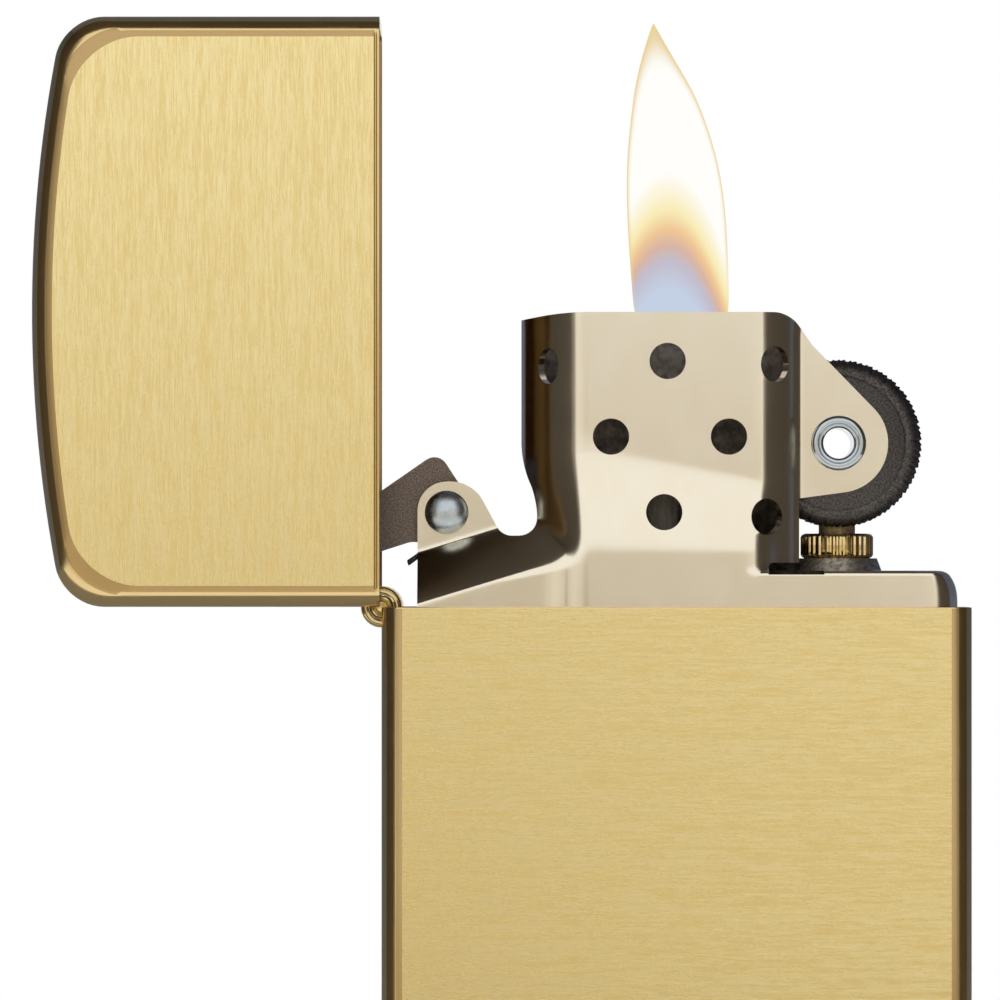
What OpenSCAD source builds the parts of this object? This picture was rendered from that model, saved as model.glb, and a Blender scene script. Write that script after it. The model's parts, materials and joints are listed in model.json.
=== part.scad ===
// Flip-top windproof petrol lighter, lid open, millimetres.
// The origin is the centre of the case's base, +Z is up and the front faces -Y.

/* [Case and lid] */
// Width of the case and lid
case_w = 38; // [37:0.5:42]
// Depth of the case and lid
case_d = 13; // [12.5:0.5:15]
// Height of the lower case, from its base to its rim
case_h = 34.5; // [32:0.5:38]
// Height of the lid, from its mouth to the middle of its arched top
lid_h = 22.5; // [21.5:0.5:25]
// Sheet thickness of the case and lid
wall = 0.7; // [0.5:0.05:0.8]
// Rounding between the broad faces and the sides
edge_r = 1.2; // [1:0.1:1.6]
// Rounding of the corners seen from the front
corner_r = 2.6; // [2:0.1:3.2]
// Radius of the arch of the lid's top
arch_r = 90; // [70:5:160]
// Gap between the closed lid and the case
lid_gap = 0.1; // [0.05:0.05:0.2]

/* [Hinge] */
// Length of the hinge along the case's depth
hinge_len = 9.8; // [8:0.2:10.4]
// Outer radius of the rolled knuckles
knuckle_r = 1.32; // [1.2:0.04:1.4]
// Radius of the hinge pin
pin_r = 0.72; // [0.6:0.02:0.8]
// Sheet thickness of the hinge leaves
leaf_t = 0.45; // [0.35:0.05:0.5]
// Height of a hinge leaf, measured from the hinge axis
leaf_h = 9; // [6:0.5:11]
// Number of knuckles
knuckles = 5; // [3:2:7]
// Gap between neighbouring knuckles, and round them in the walls
knuckle_gap = 0.14; // [0.1:0.02:0.2]
// Running clearance between a pin and its bore
running_fit = 0.05; // [0.02:0.01:0.08]

/* [Insert] */
// Room left of the insert for the hinge leaves
hinge_room = 1.6; // [1.4:0.1:2]
// Clearance between the insert and the case
insert_fit = 0.15; // [0.1:0.05:0.25]
// Plan rounding of the insert's corners
insert_r = 1.6; // [1.2:0.1:2]
// Sheet thickness of the insert
sheet = 0.5; // [0.4:0.05:0.6]
// Height of the skirt's top above the rim
skirt_h = 2.34; // [2:0.1:2.6]
// Depth that the skirt reaches below the rim
skirt_lap = 2; // [1.5:0.25:3]
// Lean of the skirt's end towards its top
skirt_lean = 0.6; // [0.3:0.1:0.9]
// Gap between nested sheets
nest_gap = 0.05; // [0.03:0.01:0.08]

/* [Chimney] */
// Distance from the insert's left end to the chimney
chimney_in = 6.7; // [6.5:0.1:7.5]
// Width of the chimney
chimney_w = 17.8; // [17:0.2:19]
// Depth of the chimney
chimney_d = 9.8; // [9:0.2:10.4]
// Height of the chimney's top above the rim
chimney_h = 18.9; // [18.2:0.1:19.2]
// Plan rounding of the chimney's closed end
chimney_left_r = 3.1; // [2.6:0.1:3.4]
// Plan rounding of the chimney's wheel end
chimney_right_r = 2.5; // [2.2:0.1:2.8]
// Height over which the front wall sweeps out to the skirt
sweep_h = 1.6; // [1:0.1:2]
// Radius of the air holes
hole_r = 1.17; // [1:0.05:1.25]
// Spacing between the rows of air holes, as a share of the chimney's height
hole_row = 0.2577; // [0.245:0.0025:0.265]
// Spacing between the middle columns of air holes
hole_column = 7.6; // [7:0.1:8]

/* [Wheel and flint] */
// Distance of the wheel's axis from the chimney's wheel end
wheel_out = 2.7; // [2.5:0.1:3]
// Height of the wheel's axis above the rim
wheel_z = 10.57; // [10.3:0.1:11]
// Radius of the wheel over its teeth
wheel_r = 5.46; // [5:0.02:5.6]
// Width of the wheel
wheel_w = 4.8; // [4:0.1:5]
// Number of teeth round the wheel
wheel_teeth = 90; // [60:2:110]
// Depth of the wheel's teeth
tooth_h = 0.28; // [0.15:0.01:0.35]
// Radius of the wheel ears' ends
ear_r = 3.2; // [2.8:0.1:3.5]
// Side play of the wheel between its ears
wheel_play = 0.3; // [0.2:0.05:0.4]
// Outer radius of the hollow wheel rivet
eyelet_r = 1.42; // [1.3:0.02:1.5]
// Bore of the hollow wheel rivet
eyelet_bore_r = 1; // [0.8:0.05:1.1]
// Radius of the wheel rivet's flanges
eyelet_flange_r = 1.78; // [1.65:0.05:2]
// Thickness of the rivet flanges
flange_t = 0.4; // [0.3:0.05:0.5]
// Radius of the flint
flint_r = 1.18; // [1:0.02:1.2]
// Length of the flint
flint_len = 5.5; // [4:0.5:6.5]
// Gap between the flint and the wheel's teeth
flint_gap = 0.12; // [0.1:0.01:0.15]
// Wall of the flint tube
tube_wall = 0.45; // [0.4:0.05:0.55]
// Radius of the knurled collar
collar_r = 2.36; // [2.3:0.02:2.6]
// Height of the knurled collar
collar_h = 1.6; // [1.3:0.1:1.7]
// Number of ridges on the collar
collar_ridges = 36; // [24:2:48]
// Depth of the collar's ridges
ridge_h = 0.14; // [0.08:0.02:0.18]
// Height of the washer under the collar
washer_h = 0.8; // [0.6:0.1:0.9]
// Radius of the washer's foot
washer_r = 2.9; // [2.8:0.05:3.1]

/* [Cam] */
// Distance of the cam's pivot from the insert's left end
cam_in = 1.88; // [1.8:0.02:2]
// Height of the cam's pivot above the rim
cam_z = 6.1; // [5.9:0.1:6.3]
// Width of the cam
cam_w = 4; // [3:0.2:4.4]
// Side play of the cam between its ears
cam_play = 0.2; // [0.15:0.05:0.3]
// Radius of the cam rivet's shank
cam_pin_r = 0.9; // [0.7:0.05:1]
// Radius of the cam rivet's domed heads
cam_head_r = 1.41; // [1.3:0.02:1.6]
// Height of the domed heads
cam_head_h = 0.75; // [0.5:0.05:0.9]
// Slope of the bends under the cam ears, degrees
cheek_slope = 17; // [14:1:20]
// Height of the lower bend above the rim at the insert's left end
cheek_low = 0.45; // [0.2:0.05:0.7]
// Height of the upper bend above the rim at the insert's left end
cheek_high = 3.75; // [3.5:0.05:4]
// Thickness of the cam's leaf spring
spring_t = 0.35; // [0.25:0.05:0.4]
// Width of the cam's leaf spring
spring_w = 3.4; // [2.6:0.2:3.6]

/* [Tank filling] */
// Radius of the wick
wick_r = 1; // [0.8:0.05:1.1]
// Height of the wick's top above the rim
wick_top = 12; // [9:0.5:13]
// Height of the lowest cotton wad
low_wad_h = 2.5; // [1.5:0.25:4]
// Thickness of the felt pad
felt_t = 2.5; // [1.5:0.25:3]
// Gap round the soft filling
soft_gap = 0.15; // [0.1:0.05:0.25]
// Radius of the flint screw's head
screw_head_r = 2.4; // [2:0.1:2.8]
// Height of the flint screw's head
screw_head_h = 1.2; // [0.8:0.1:1.4]
// Length of the flint screw's shank
screw_len = 4; // [3:0.5:6]
// Wire radius of the flint spring
wire_r = 0.2; // [0.15:0.01:0.22]
// Turns of the flint spring
spring_turns = 22; // [16:1:24]

/* [Hidden] */
$fn = 48;

// Overlap that cutting shapes have past the faces they cut
cut = 1;
// Colours
brass = "#dcbc6b";
tan_steel = "#cdb795";
dark_steel = "#3c3734";
black_steel = "#262423";
bright_steel = "#b9bec3";
cotton = "#e8e3d6";

// Hinge axis: the corner of the case's left side and its rim
hinge_x = -case_w / 2;
hinge_pos = [hinge_x, 0, case_h];
lid_open = 90;
knuckle_pitch = hinge_len / knuckles;
knuckle_bore = pin_r + running_fit;
notch_r = knuckle_r + knuckle_gap;

// Insert: left and right ends, half depth
in_left = hinge_x + wall + hinge_room;
in_right = case_w / 2 - wall - insert_fit;
in_y = case_d / 2 - wall - insert_fit;
neck_in = sheet + nest_gap;
tank_z = corner_r + nest_gap;
deck_t = sheet;
// The deck lies just under the cheeks' lower bends
deck_z = cheek_low - nest_gap;

// Chimney and ears
ch_left = in_left + chimney_in;
ch_right = ch_left + chimney_w;
ch_y = chimney_d / 2;
ch_mid = (ch_left + chimney_left_r + ch_right - chimney_right_r) / 2;
ear_in = wheel_w / 2 + wheel_play;
ear_out = ear_in + sheet;
cam_ear_in = cam_w / 2 + cam_play;
cam_ear_out = cam_ear_in + sheet;

// Wheel, flint tube and cam axes
wheel_x = ch_right + wheel_out;
cam_x = in_left + cam_in;
tube_bore = flint_r + 2 * running_fit;
tube_r = tube_bore + tube_wall;
tube_top = skirt_h + washer_h + collar_h;
screw_z = tank_z;
tube_z = screw_z + screw_head_h;
flint_top = wheel_z - wheel_r - flint_gap;
flint_low = case_h + flint_top - flint_len;
tip_h = 3;
coil_low = tube_z + screw_len + nest_gap;
coil_high = flint_low - tip_h - 2 * nest_gap;
coil_r = flint_r - wire_r - running_fit;

// Tank filling
tank_left = in_left + neck_in + sheet;
felt_z = tank_z + 2 * soft_gap;
fill_low = felt_z + felt_t + soft_gap;
fill_high = case_h + deck_z - deck_t;
fill_right = wheel_x - tube_r - 2 * soft_gap;
fill_left = tank_left + 2 * soft_gap;
wick_x = ch_mid;
// The wick's runs share the height above the lowest wad
last_run_z = fill_low + low_wad_h + soft_gap + wick_r;
turn_r = (fill_high - 4 * soft_gap - last_run_z) / 7;
run_z = last_run_z + 6 * turn_r;
turn_left = fill_left + turn_r + wick_r;
turn_right = fill_right - turn_r - wick_r;

function unit(v) = v / norm(v);
function turned(v, a) = [v.x * cos(a) - v.y * sin(a), v.x * sin(a) + v.y * cos(a)];

// Arc about a centre from start to finish, the short way round
function swing(centre, start, finish, n) =
    let (a = start - centre, b = finish - centre, sweep = atan2(cross(a, b), a * b))
    [for (i = [0:n]) centre + turned(a, sweep * i / n)];

// Arc that rounds corner p, between its neighbours a and b, to radius r
function corner_arc(a, p, b, r, n) =
    r <= 0 ? [p] :
    let (
        u = unit(a - p),
        v = unit(b - p),
        half = acos(u * v) / 2,
        centre = p + unit(u + v) * r / sin(half)
    )
    swing(centre, p + u * r / tan(half), p + v * r / tan(half), n);

// Outline through corners [x, y, radius]
function rounded(corners, n = 6) =
    let (count = len(corners), flat = [for (c = corners) [c.x, c.y]])
    [for (i = [0:count - 1])
        each corner_arc(flat[(i + count - 1) % count], flat[i], flat[(i + 1) % count], corners[i].z, n)];

// Point where a line from p touches a circle: side is 1 for the left of the line of sight
function tangent_point(p, c, r, side) =
    let (d = c - p, reach = sqrt(d * d - r * r))
    p + turned(unit(d), side * asin(r / norm(d))) * reach;

// Points and faces of a tube through rings [centre, u, v], with flat ends
function tube_points(rings, r, sides) =
    [for (ring = rings) for (k = [0:sides - 1])
        ring[0] + r * (cos(360 * k / sides) * ring[1] + sin(360 * k / sides) * ring[2])];
function tube_faces(count, sides) = concat(
    [for (i = [0:count - 2]) for (k = [0:sides - 1])
        [i * sides + k, i * sides + (k + 1) % sides, (i + 1) * sides + k]],
    [for (i = [0:count - 2]) for (k = [0:sides - 1])
        [(i + 1) * sides + k, i * sides + (k + 1) % sides, (i + 1) * sides + (k + 1) % sides]],
    [for (k = [1:sides - 2]) [0, k + 1, k]],
    [for (k = [1:sides - 2]) let (e = (count - 1) * sides) [e, e + k, e + k + 1]]
);

// Extrudes a front-view outline (x, z) over the depth from y0 to y1
module front_plate(y0, y1) {
    translate([0, y1, 0]) rotate([90, 0, 0]) linear_extrude(y1 - y0) children();
}

// Both mirror images of what is on the front
module both_sides() {
    children();
    mirror([0, 1, 0]) children();
}

// Turns what is modelled closed to the open lid's place
module lid_place() {
    translate(hinge_pos) rotate([0, -lid_open, 0]) translate(-hinge_pos) children();
}

// Rounded outer strip of a drawn shell: its depth across, its edge at x = reach
module strip_profile(reach, d, edge) {
    polygon(rounded([[0, -d / 2, 0], [reach, -d / 2, edge], [reach, d / 2, edge], [0, d / 2, 0]]));
}

// Centre of the corner that joins a straight side to an arched end
function arch_corner(w, h, corner, arch) =
    let (x = w / 2 - corner)
    [x, h - arch + sqrt(pow(arch - corner, 2) - pow(x, 2))];

// Front view of a cavity with its arched end up, each corner cut by flats inside its arc
module arch_outline(w, h, corner, arch) {
    centre = arch_corner(w, h, corner, arch);
    // Corner points as shares of the radius and angles, the last just past the arch
    corner_points = [[1, 0], [1, 40], [1.05, 80]];
    right = concat(
        [[w / 2, -cut]],
        [for (p = corner_points) centre + corner * p[0] * [cos(p[1]), sin(p[1])]],
        [[centre.x, h + cut]]
    );
    intersection() {
        translate([0, h - arch]) circle(arch, $fn = 360);
        for (side = [0, 1]) mirror([side, 0]) polygon(concat([[-cut, -cut]], right, [[-cut, h + cut]]));
    }
}

// Full-depth middle of a drawn shell, reaching past the centres of its corners
module drawn_core(corner_x, corner_z, reach, d, z0) {
    front_plate(-d / 2, d / 2) polygon([
        [-corner_x - reach, z0],
        [corner_x + reach, z0],
        [corner_x + reach, corner_z + reach / 2],
        [corner_x + reach / 2, corner_z + reach],
        [-corner_x - reach / 2, corner_z + reach],
        [-corner_x - reach, corner_z + reach / 2]
    ]);
}

// Solid of a drawn shell with its closed end up: straight sides from z0, corners and an arched end
module drawn_solid(w, d, h, edge, corner, arch, z0 = 0) {
    centre = arch_corner(w, h, corner, arch);
    corner_x = centre.x;
    corner_z = centre.y;
    lean = asin(corner_x / (arch - corner));
    arch_reach = h - corner_z + cut;
    drawn_core(corner_x, corner_z, (corner - edge) / 2, d, z0);
    translate([0, 0, h - arch]) rotate([90, 0, 0]) rotate([0, 0, 90 - lean])
        rotate_extrude(angle = 2 * lean, $fn = 180)
            translate([arch - arch_reach, 0]) strip_profile(arch_reach, d, edge);
    for (side = [0, 1]) mirror([side, 0, 0]) {
        translate([corner_x, 0, corner_z]) rotate([90, 0, 0])
            rotate_extrude(angle = 90 - lean) strip_profile(corner, d, edge);
        translate([corner_x, 0, z0]) linear_extrude(corner_z - z0) strip_profile(corner, d, edge);
    }
}

// Solid of a drawn shell with a flat closed end up
module drawn_flat(w, d, h, edge, corner, z0 = 0) {
    corner_x = w / 2 - corner;
    corner_z = h - corner;
    drawn_core(corner_x, corner_z, (corner - edge) / 2, d, z0);
    translate([-corner_x, 0, corner_z]) rotate([90, 0, 90]) linear_extrude(2 * corner_x)
        rotate([0, 0, 90]) strip_profile(corner, d, edge);
    for (side = [0, 1]) mirror([side, 0, 0]) {
        translate([corner_x, 0, corner_z]) rotate([90, 0, 0])
            rotate_extrude(angle = 90) strip_profile(corner, d, edge);
        translate([corner_x, 0, z0]) linear_extrude(corner_z - z0) strip_profile(corner, d, edge);
    }
}

// Room for the knuckles in the wall beside the hinge
module hinge_notch() {
    notch_y = hinge_len / 2 + knuckle_gap;
    translate([hinge_x - cut, -notch_y, case_h - notch_r])
        cube([wall + cut + nest_gap, 2 * notch_y, 2 * notch_r]);
}

// Hinge leaf with every second knuckle, its plate below the axis
module hinge_leaf(first) {
    plate_x = hinge_x + wall;
    difference() {
        union() {
            translate([plate_x, -hinge_len / 2, case_h - leaf_h])
                cube([leaf_t, hinge_len, leaf_h - notch_r - knuckle_gap]);
            for (k = [first:2:knuckles - 1]) {
                y0 = -hinge_len / 2 + k * knuckle_pitch + (k > 0 ? knuckle_gap / 2 : 0);
                y1 = -hinge_len / 2 + (k + 1) * knuckle_pitch - (k < knuckles - 1 ? knuckle_gap / 2 : 0);
                front_plate(y0, y1) translate([hinge_x, case_h]) circle(knuckle_r);
                translate([plate_x, y0, case_h - leaf_h / 2])
                    cube([leaf_t, y1 - y0, leaf_h / 2 - pin_r - running_fit]);
            }
        }
        front_plate(-hinge_len, hinge_len) translate([hinge_x, case_h]) circle(knuckle_bore);
    }
}

module case_shell() {
    color(brass) difference() {
        translate([0, 0, case_h]) mirror([0, 0, 1])
            drawn_flat(case_w, case_d, case_h, edge_r, corner_r);
        translate([0, 0, case_h]) mirror([0, 0, 1])
            drawn_flat(case_w - 2 * wall, case_d - 2 * wall, case_h - wall,
                edge_r - wall, corner_r - wall, -cut);
        hinge_notch();
    }
}

module case_hinge_leaf() {
    color(brass) hinge_leaf(0);
}

module hinge_pin() {
    color(bright_steel) front_plate(-hinge_len / 2, hinge_len / 2)
        translate([hinge_x, case_h]) circle(pin_r);
}

module lid_shell() {
    color(brass) lid_place() difference() {
        translate([0, 0, case_h])
            drawn_solid(case_w, case_d, lid_h, edge_r, corner_r, arch_r, lid_gap);
        translate([0, 0, case_h]) front_plate(-case_d / 2 + wall, case_d / 2 - wall)
            arch_outline(case_w - 2 * wall, lid_h - wall, corner_r - wall, arch_r - wall);
        hinge_notch();
    }
}

module lid_hinge_leaf() {
    color(brass) lid_place()
        translate([0, 0, 2 * case_h]) mirror([0, 0, 1]) hinge_leaf(1);
}

// Plan of the insert, drawn in by a margin, with its ends moved out by reaches
module insert_plan(margin, left_r, left_reach = 0, right_reach = 0) {
    left = in_left + margin - left_reach;
    right = in_right - margin + right_reach;
    r = insert_r - margin;
    polygon(rounded([
        [left, -in_y + margin, left_r],
        [right, -in_y + margin, r],
        [right, in_y - margin, r],
        [left, in_y - margin, left_r]
    ]));
}

// Plan of the tank's neck and deck inside the skirt, clear of its leaning end
module neck_plan(margin) {
    r = insert_r - neck_in - margin;
    insert_plan(neck_in + margin, r, 0, -skirt_lean);
}

module fuel_tank() {
    low_h = case_h - skirt_lap - nest_gap - tank_z;
    neck_h = fill_high - tank_z;
    color(tan_steel) translate([0, 0, tank_z]) difference() {
        union() {
            linear_extrude(low_h) insert_plan(0, insert_r);
            linear_extrude(neck_h) neck_plan(0);
        }
        translate([0, 0, -cut]) linear_extrude(low_h + cut - sheet)
            insert_plan(sheet, insert_r - sheet);
        translate([0, 0, -cut]) linear_extrude(neck_h + 2 * cut) neck_plan(sheet);
    }
}

module deck_plate() {
    color(tan_steel) translate([0, 0, fill_high]) difference() {
        linear_extrude(deck_t) neck_plan(0);
        translate([wick_x, 0, -cut]) cylinder(r = wick_r + soft_gap, h = deck_t + 2 * cut);
        translate([wheel_x, 0, -cut]) cylinder(r = tube_r + nest_gap, h = deck_t + 2 * cut);
        translate([spring_root, 0, -cut]) cylinder(r = spring_pin_r + nest_gap, h = deck_t + 2 * cut);
    }
}

// Skirt seen from the front, drawn in by a margin, with its end leaning in towards the top
module skirt_outline(margin) {
    lean_z = -2 * insert_fit;
    top = skirt_h - margin;
    bend_z = cheek_low - sheet / 2;
    bend_x = in_left + (skirt_h - bend_z) / tan(cheek_slope);
    polygon(rounded([
        [in_left, -skirt_lap, 0],
        [in_right - margin, -skirt_lap, 0],
        [in_right - margin, lean_z, 0],
        [in_right - skirt_lean - margin, top, insert_r / 2],
        [bend_x, top, 0],
        [in_left, bend_z, 0]
    ]));
}

// Skirt with its closed top right of the chimney, open under the chimney and on the cam's side
module skirt() {
    deep = 2 * case_d;
    difference() {
        intersection() {
            translate([0, 0, -skirt_lap]) linear_extrude(skirt_lap + skirt_h) insert_plan(0, 0);
            front_plate(-deep, deep) skirt_outline(0);
        }
        intersection() {
            translate([0, 0, -skirt_lap - cut])
                linear_extrude(skirt_lap + skirt_h + 2 * cut) insert_plan(sheet, 0, 2 * sheet);
            front_plate(-deep, deep) union() {
                translate([in_left - cut, -skirt_lap - cut])
                    square([ch_right - in_left + cut, skirt_lap + skirt_h + 2 * cut]);
                translate([0, -cut]) skirt_outline(sheet);
                skirt_outline(sheet);
            }
        }
        relief_notch();
        translate([wheel_x, 0, 0]) cylinder(r = tube_r + nest_gap, h = 2 * skirt_h);
    }
}

// Rounded relief cut where the chimney's wheel end leaves the skirt's top
module relief_notch() {
    notch_w = 3.6;
    notch_depth = 0.2;
    notch_x = ch_right - notch_w / 2;
    both_sides() front_plate(-in_y - cut, -ear_out) polygon(rounded([
        [notch_x, skirt_h - notch_depth, notch_depth / 2],
        [notch_x + notch_w, skirt_h - notch_depth, notch_depth / 2],
        [notch_x + notch_w, skirt_h + cut, 0],
        [notch_x, skirt_h + cut, 0]
    ]));
}

// Front wall of the chimney, swept out to the skirt at its foot
module front_wall() {
    x0 = ch_left + chimney_left_r;
    x1 = ch_right - chimney_right_r;
    translate([x0, 0, 0]) rotate([90, 0, 90]) linear_extrude(x1 - x0) polygon([
        [-in_y, skirt_h - sheet],
        [-in_y, skirt_h],
        [-ch_y, skirt_h + sweep_h],
        [-ch_y, chimney_h],
        [-ch_y + sheet, chimney_h],
        [-ch_y + sheet, skirt_h + sweep_h - sheet / 4],
        [-in_y + sheet, skirt_h - sheet / 4],
        [-in_y + sheet, skirt_h - sheet]
    ]);
}

// Plan of the chimney's rounded ends, drawn in by a margin
module chimney_plan(margin) {
    left_r = chimney_left_r - margin;
    right_r = chimney_right_r - margin;
    polygon(rounded([
        [ch_left + margin, -ch_y + margin, left_r],
        [ch_right - margin, -ch_y + margin, right_r],
        [ch_right - margin, ch_y - margin, right_r],
        [ch_left + margin, ch_y - margin, left_r]
    ]));
}

// Closed left end and the two corners of the wheel end
module chimney_ends() {
    foot = skirt_h - sheet;
    arch_h = cheek_high + sheet;
    difference() {
        translate([0, 0, foot]) linear_extrude(chimney_h - foot) chimney_plan(0);
        translate([0, 0, foot - cut]) linear_extrude(chimney_h) chimney_plan(sheet);
        translate([ch_left + chimney_left_r, -case_d, foot - cut])
            cube([chimney_w - chimney_left_r - chimney_right_r, 2 * case_d, chimney_h]);
        translate([ch_right - chimney_right_r, -ear_in, foot - cut])
            cube([chimney_right_r + cut, 2 * ear_in, chimney_h]);
        translate([ch_left - cut, -cam_ear_in, foot - cut])
            cube([cut + sheet + cut, 2 * cam_ear_in, arch_h - foot + cut]);
    }
}

// Air holes: [column, row, turn round the chimney's corner]
front_holes = [
    [0, 2, 0], [-0.5, 1, 0], [0.5, 1, 0], [0, 0, 0],
    [0.9, 2, 25], [0.82, 0, 11], [-0.98, 2, -25]
];
// The back's holes lie between the front's, so that no draught blows straight through
back_holes = [
    [-0.5, 2, 0], [0.5, 2, 0], [0, 1, 0], [-0.5, 0, 0], [0.5, 0, 0],
    [0.9, 1, 25], [-0.98, 1, -25]
];
hole_low = 0.3228 * chimney_h;

// The turned holes cross the rounded corners square to the sheet
module air_hole_cuts(holes) {
    for (hole = holes) {
        x = ch_mid + hole.x * hole_column;
        z = hole_low + hole.y * hole_row * chimney_h;
        translate([x, -ch_y + sheet, z]) rotate([90, 0, hole.z])
            translate([0, 0, -2 * sheet]) cylinder(r = hole_r, h = 5 * sheet);
    }
}

// Wheel ear, leaving the chimney's corner and rounded about the wheel's axis
module wheel_ear() {
    root_x = ch_right - chimney_right_r / 3;
    axis = [wheel_x, wheel_z];
    high = [root_x, chimney_h];
    low = [root_x, wheel_z - ear_r - 2 * sheet];
    arc_steps = 16;
    front_plate(-ear_out, -ear_in) difference() {
        polygon(concat([high], swing(axis, tangent_point(high, axis, ear_r, 1),
            tangent_point(low, axis, ear_r, -1), arc_steps), [low]));
        translate(axis) circle(eyelet_r);
    }
}

// Cheek under the cam ear: bent in twice along sloping lines, tucked into the skirt, and the ear above it
module cam_cheek() {
    tuck = nest_gap / 2;
    low_s = cheek_low * cos(cheek_slope);
    high_s = cheek_high * cos(cheek_slope);
    lap = 2.2 * sheet;
    lap_s = low_s - lap;
    run = chimney_in + chimney_left_r;
    deep = 2 * case_d;
    // Ear outline: its top, its shoulder and the dip between it and the chimney
    ear_top = cam_z + cam_in + 0.1;
    shoulder_x = cam_x + 1.56;
    shoulder_r = 1.5;
    dip_x = cam_x + 3.45;
    dip_z = cheek_high + 0.87;
    dip_r = 0.5;
    difference() {
        intersection() {
            translate([in_left, 0, 0]) rotate([0, -cheek_slope, 0]) rotate([90, 0, 90])
                translate([0, 0, -run]) linear_extrude(3 * run) polygon([
                    [-in_y + tuck, lap_s],
                    [-in_y + tuck, low_s],
                    [-cam_ear_out, high_s],
                    [-cam_ear_out, chimney_h],
                    [-cam_ear_in, chimney_h],
                    [-cam_ear_in, high_s - sheet / 3],
                    [-in_y + sheet - tuck, low_s - sheet / 3],
                    [-in_y + sheet - tuck, lap_s]
                ]);
            front_plate(-deep, 0) polygon(rounded([
                [in_left, -sheet, 0],
                [in_left, ear_top, cam_in],
                [shoulder_x, ear_top, shoulder_r],
                [dip_x, dip_z, dip_r],
                [ch_left + sheet / 2, dip_z, dip_r],
                [ch_left + sheet / 2, ear_top, 0],
                [ch_left + chimney_left_r, ear_top, 0],
                [ch_left + chimney_left_r, -sheet, 0]
            ]));
        }
        translate([0, 0, -cut]) linear_extrude(chimney_h) chimney_plan(sheet);
        front_plate(-deep, deep) translate([cam_x, cam_z]) circle(cam_pin_r);
    }
}

module chimney() {
    color(tan_steel) translate([0, 0, case_h]) difference() {
        union() {
            skirt();
            chimney_ends();
            both_sides() {
                front_wall();
                wheel_ear();
                cam_cheek();
            }
        }
        air_hole_cuts(front_holes);
        mirror([0, 1, 0]) air_hole_cuts(back_holes);
    }
}

// Round rivet parts lie across the object, along Y
module across(x, z) {
    translate([x, 0, case_h + z]) rotate([90, 0, 0]) children();
}

module wheel_rivet() {
    half = ear_out + flange_t;
    color(bright_steel) across(wheel_x, wheel_z) difference() {
        union() {
            translate([0, 0, -half]) cylinder(r = eyelet_r, h = 2 * half);
            for (side = [0, 1]) mirror([0, 0, side]) translate([0, 0, ear_out])
                rotate_extrude() polygon(rounded([
                    [0, 0, 0],
                    [eyelet_flange_r, 0, 0],
                    [eyelet_flange_r, flange_t, flange_t / 2],
                    [eyelet_bore_r, flange_t, flange_t / 2],
                    [eyelet_bore_r, flange_t / 4, 0],
                    [0, flange_t / 4, 0]
                ]));
        }
        translate([0, 0, -half - cut]) cylinder(r = eyelet_bore_r, h = 2 * (half + cut));
    }
}

// Knurled wheel: teeth round the rim, a chamfer on each side and a raised hub
module spark_wheel() {
    step = 360 / wheel_teeth;
    chamfer = 2 * tooth_h;
    hub_r = ear_r;
    rim_w = wheel_w - wheel_play;
    color(black_steel) across(wheel_x, wheel_z) difference() {
        union() {
            intersection() {
                translate([0, 0, -rim_w / 2]) linear_extrude(rim_w) polygon([
                    for (i = [0:wheel_teeth - 1]) each [
                        wheel_r * [cos(i * step), sin(i * step)],
                        (wheel_r - tooth_h) * [cos((i + 0.75) * step), sin((i + 0.75) * step)]
                    ]
                ]);
                translate([0, 0, -rim_w / 2])
                    cylinder(r1 = wheel_r - chamfer, r2 = wheel_r - chamfer + rim_w, h = rim_w);
                translate([0, 0, -rim_w / 2])
                    cylinder(r1 = wheel_r - chamfer + rim_w, r2 = wheel_r - chamfer, h = rim_w);
            }
            translate([0, 0, -wheel_w / 2]) cylinder(r = hub_r, h = wheel_w);
        }
        translate([0, 0, -wheel_w]) cylinder(r = eyelet_r + running_fit, h = 2 * wheel_w);
    }
}

// Cam outline round its pivot: a raised shoulder, and a foot that reaches into the lid
cam_outline = [
    [-5.5, -2.9, 0.5], [-2.4, -1.9, 1.2], [0.4, -1.9, 1.5], [1.9, 0.2, 1.5],
    [-0.55, 3.95, 0.9], [-5.6, 0.45, 0.8]
];

module cam() {
    color(dark_steel) translate([cam_x, 0, case_h + cam_z]) difference() {
        front_plate(-cam_w / 2, cam_w / 2) polygon(rounded(cam_outline));
        rotate([90, 0, 0]) translate([0, 0, -cam_w])
            cylinder(r = cam_pin_r + running_fit, h = 2 * cam_w);
    }
}

module cam_rivet() {
    dome_r = (pow(cam_head_r, 2) + pow(cam_head_h, 2)) / (2 * cam_head_h);
    color(bright_steel) across(cam_x, cam_z) {
        translate([0, 0, -cam_ear_out]) cylinder(r = cam_pin_r, h = 2 * cam_ear_out);
        for (side = [0, 1]) mirror([0, 0, side]) translate([0, 0, cam_ear_out]) intersection() {
            cylinder(r = cam_head_r, h = cam_head_h);
            translate([0, 0, cam_head_h - dome_r]) sphere(dome_r, $fn = 64);
        }
    }
}

// Leaf spring: flat on the deck, rising under the cam, its tip turned down past the ears
spring_root = ch_left + 2.4;
spring_pin_r = 0.6;

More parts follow.
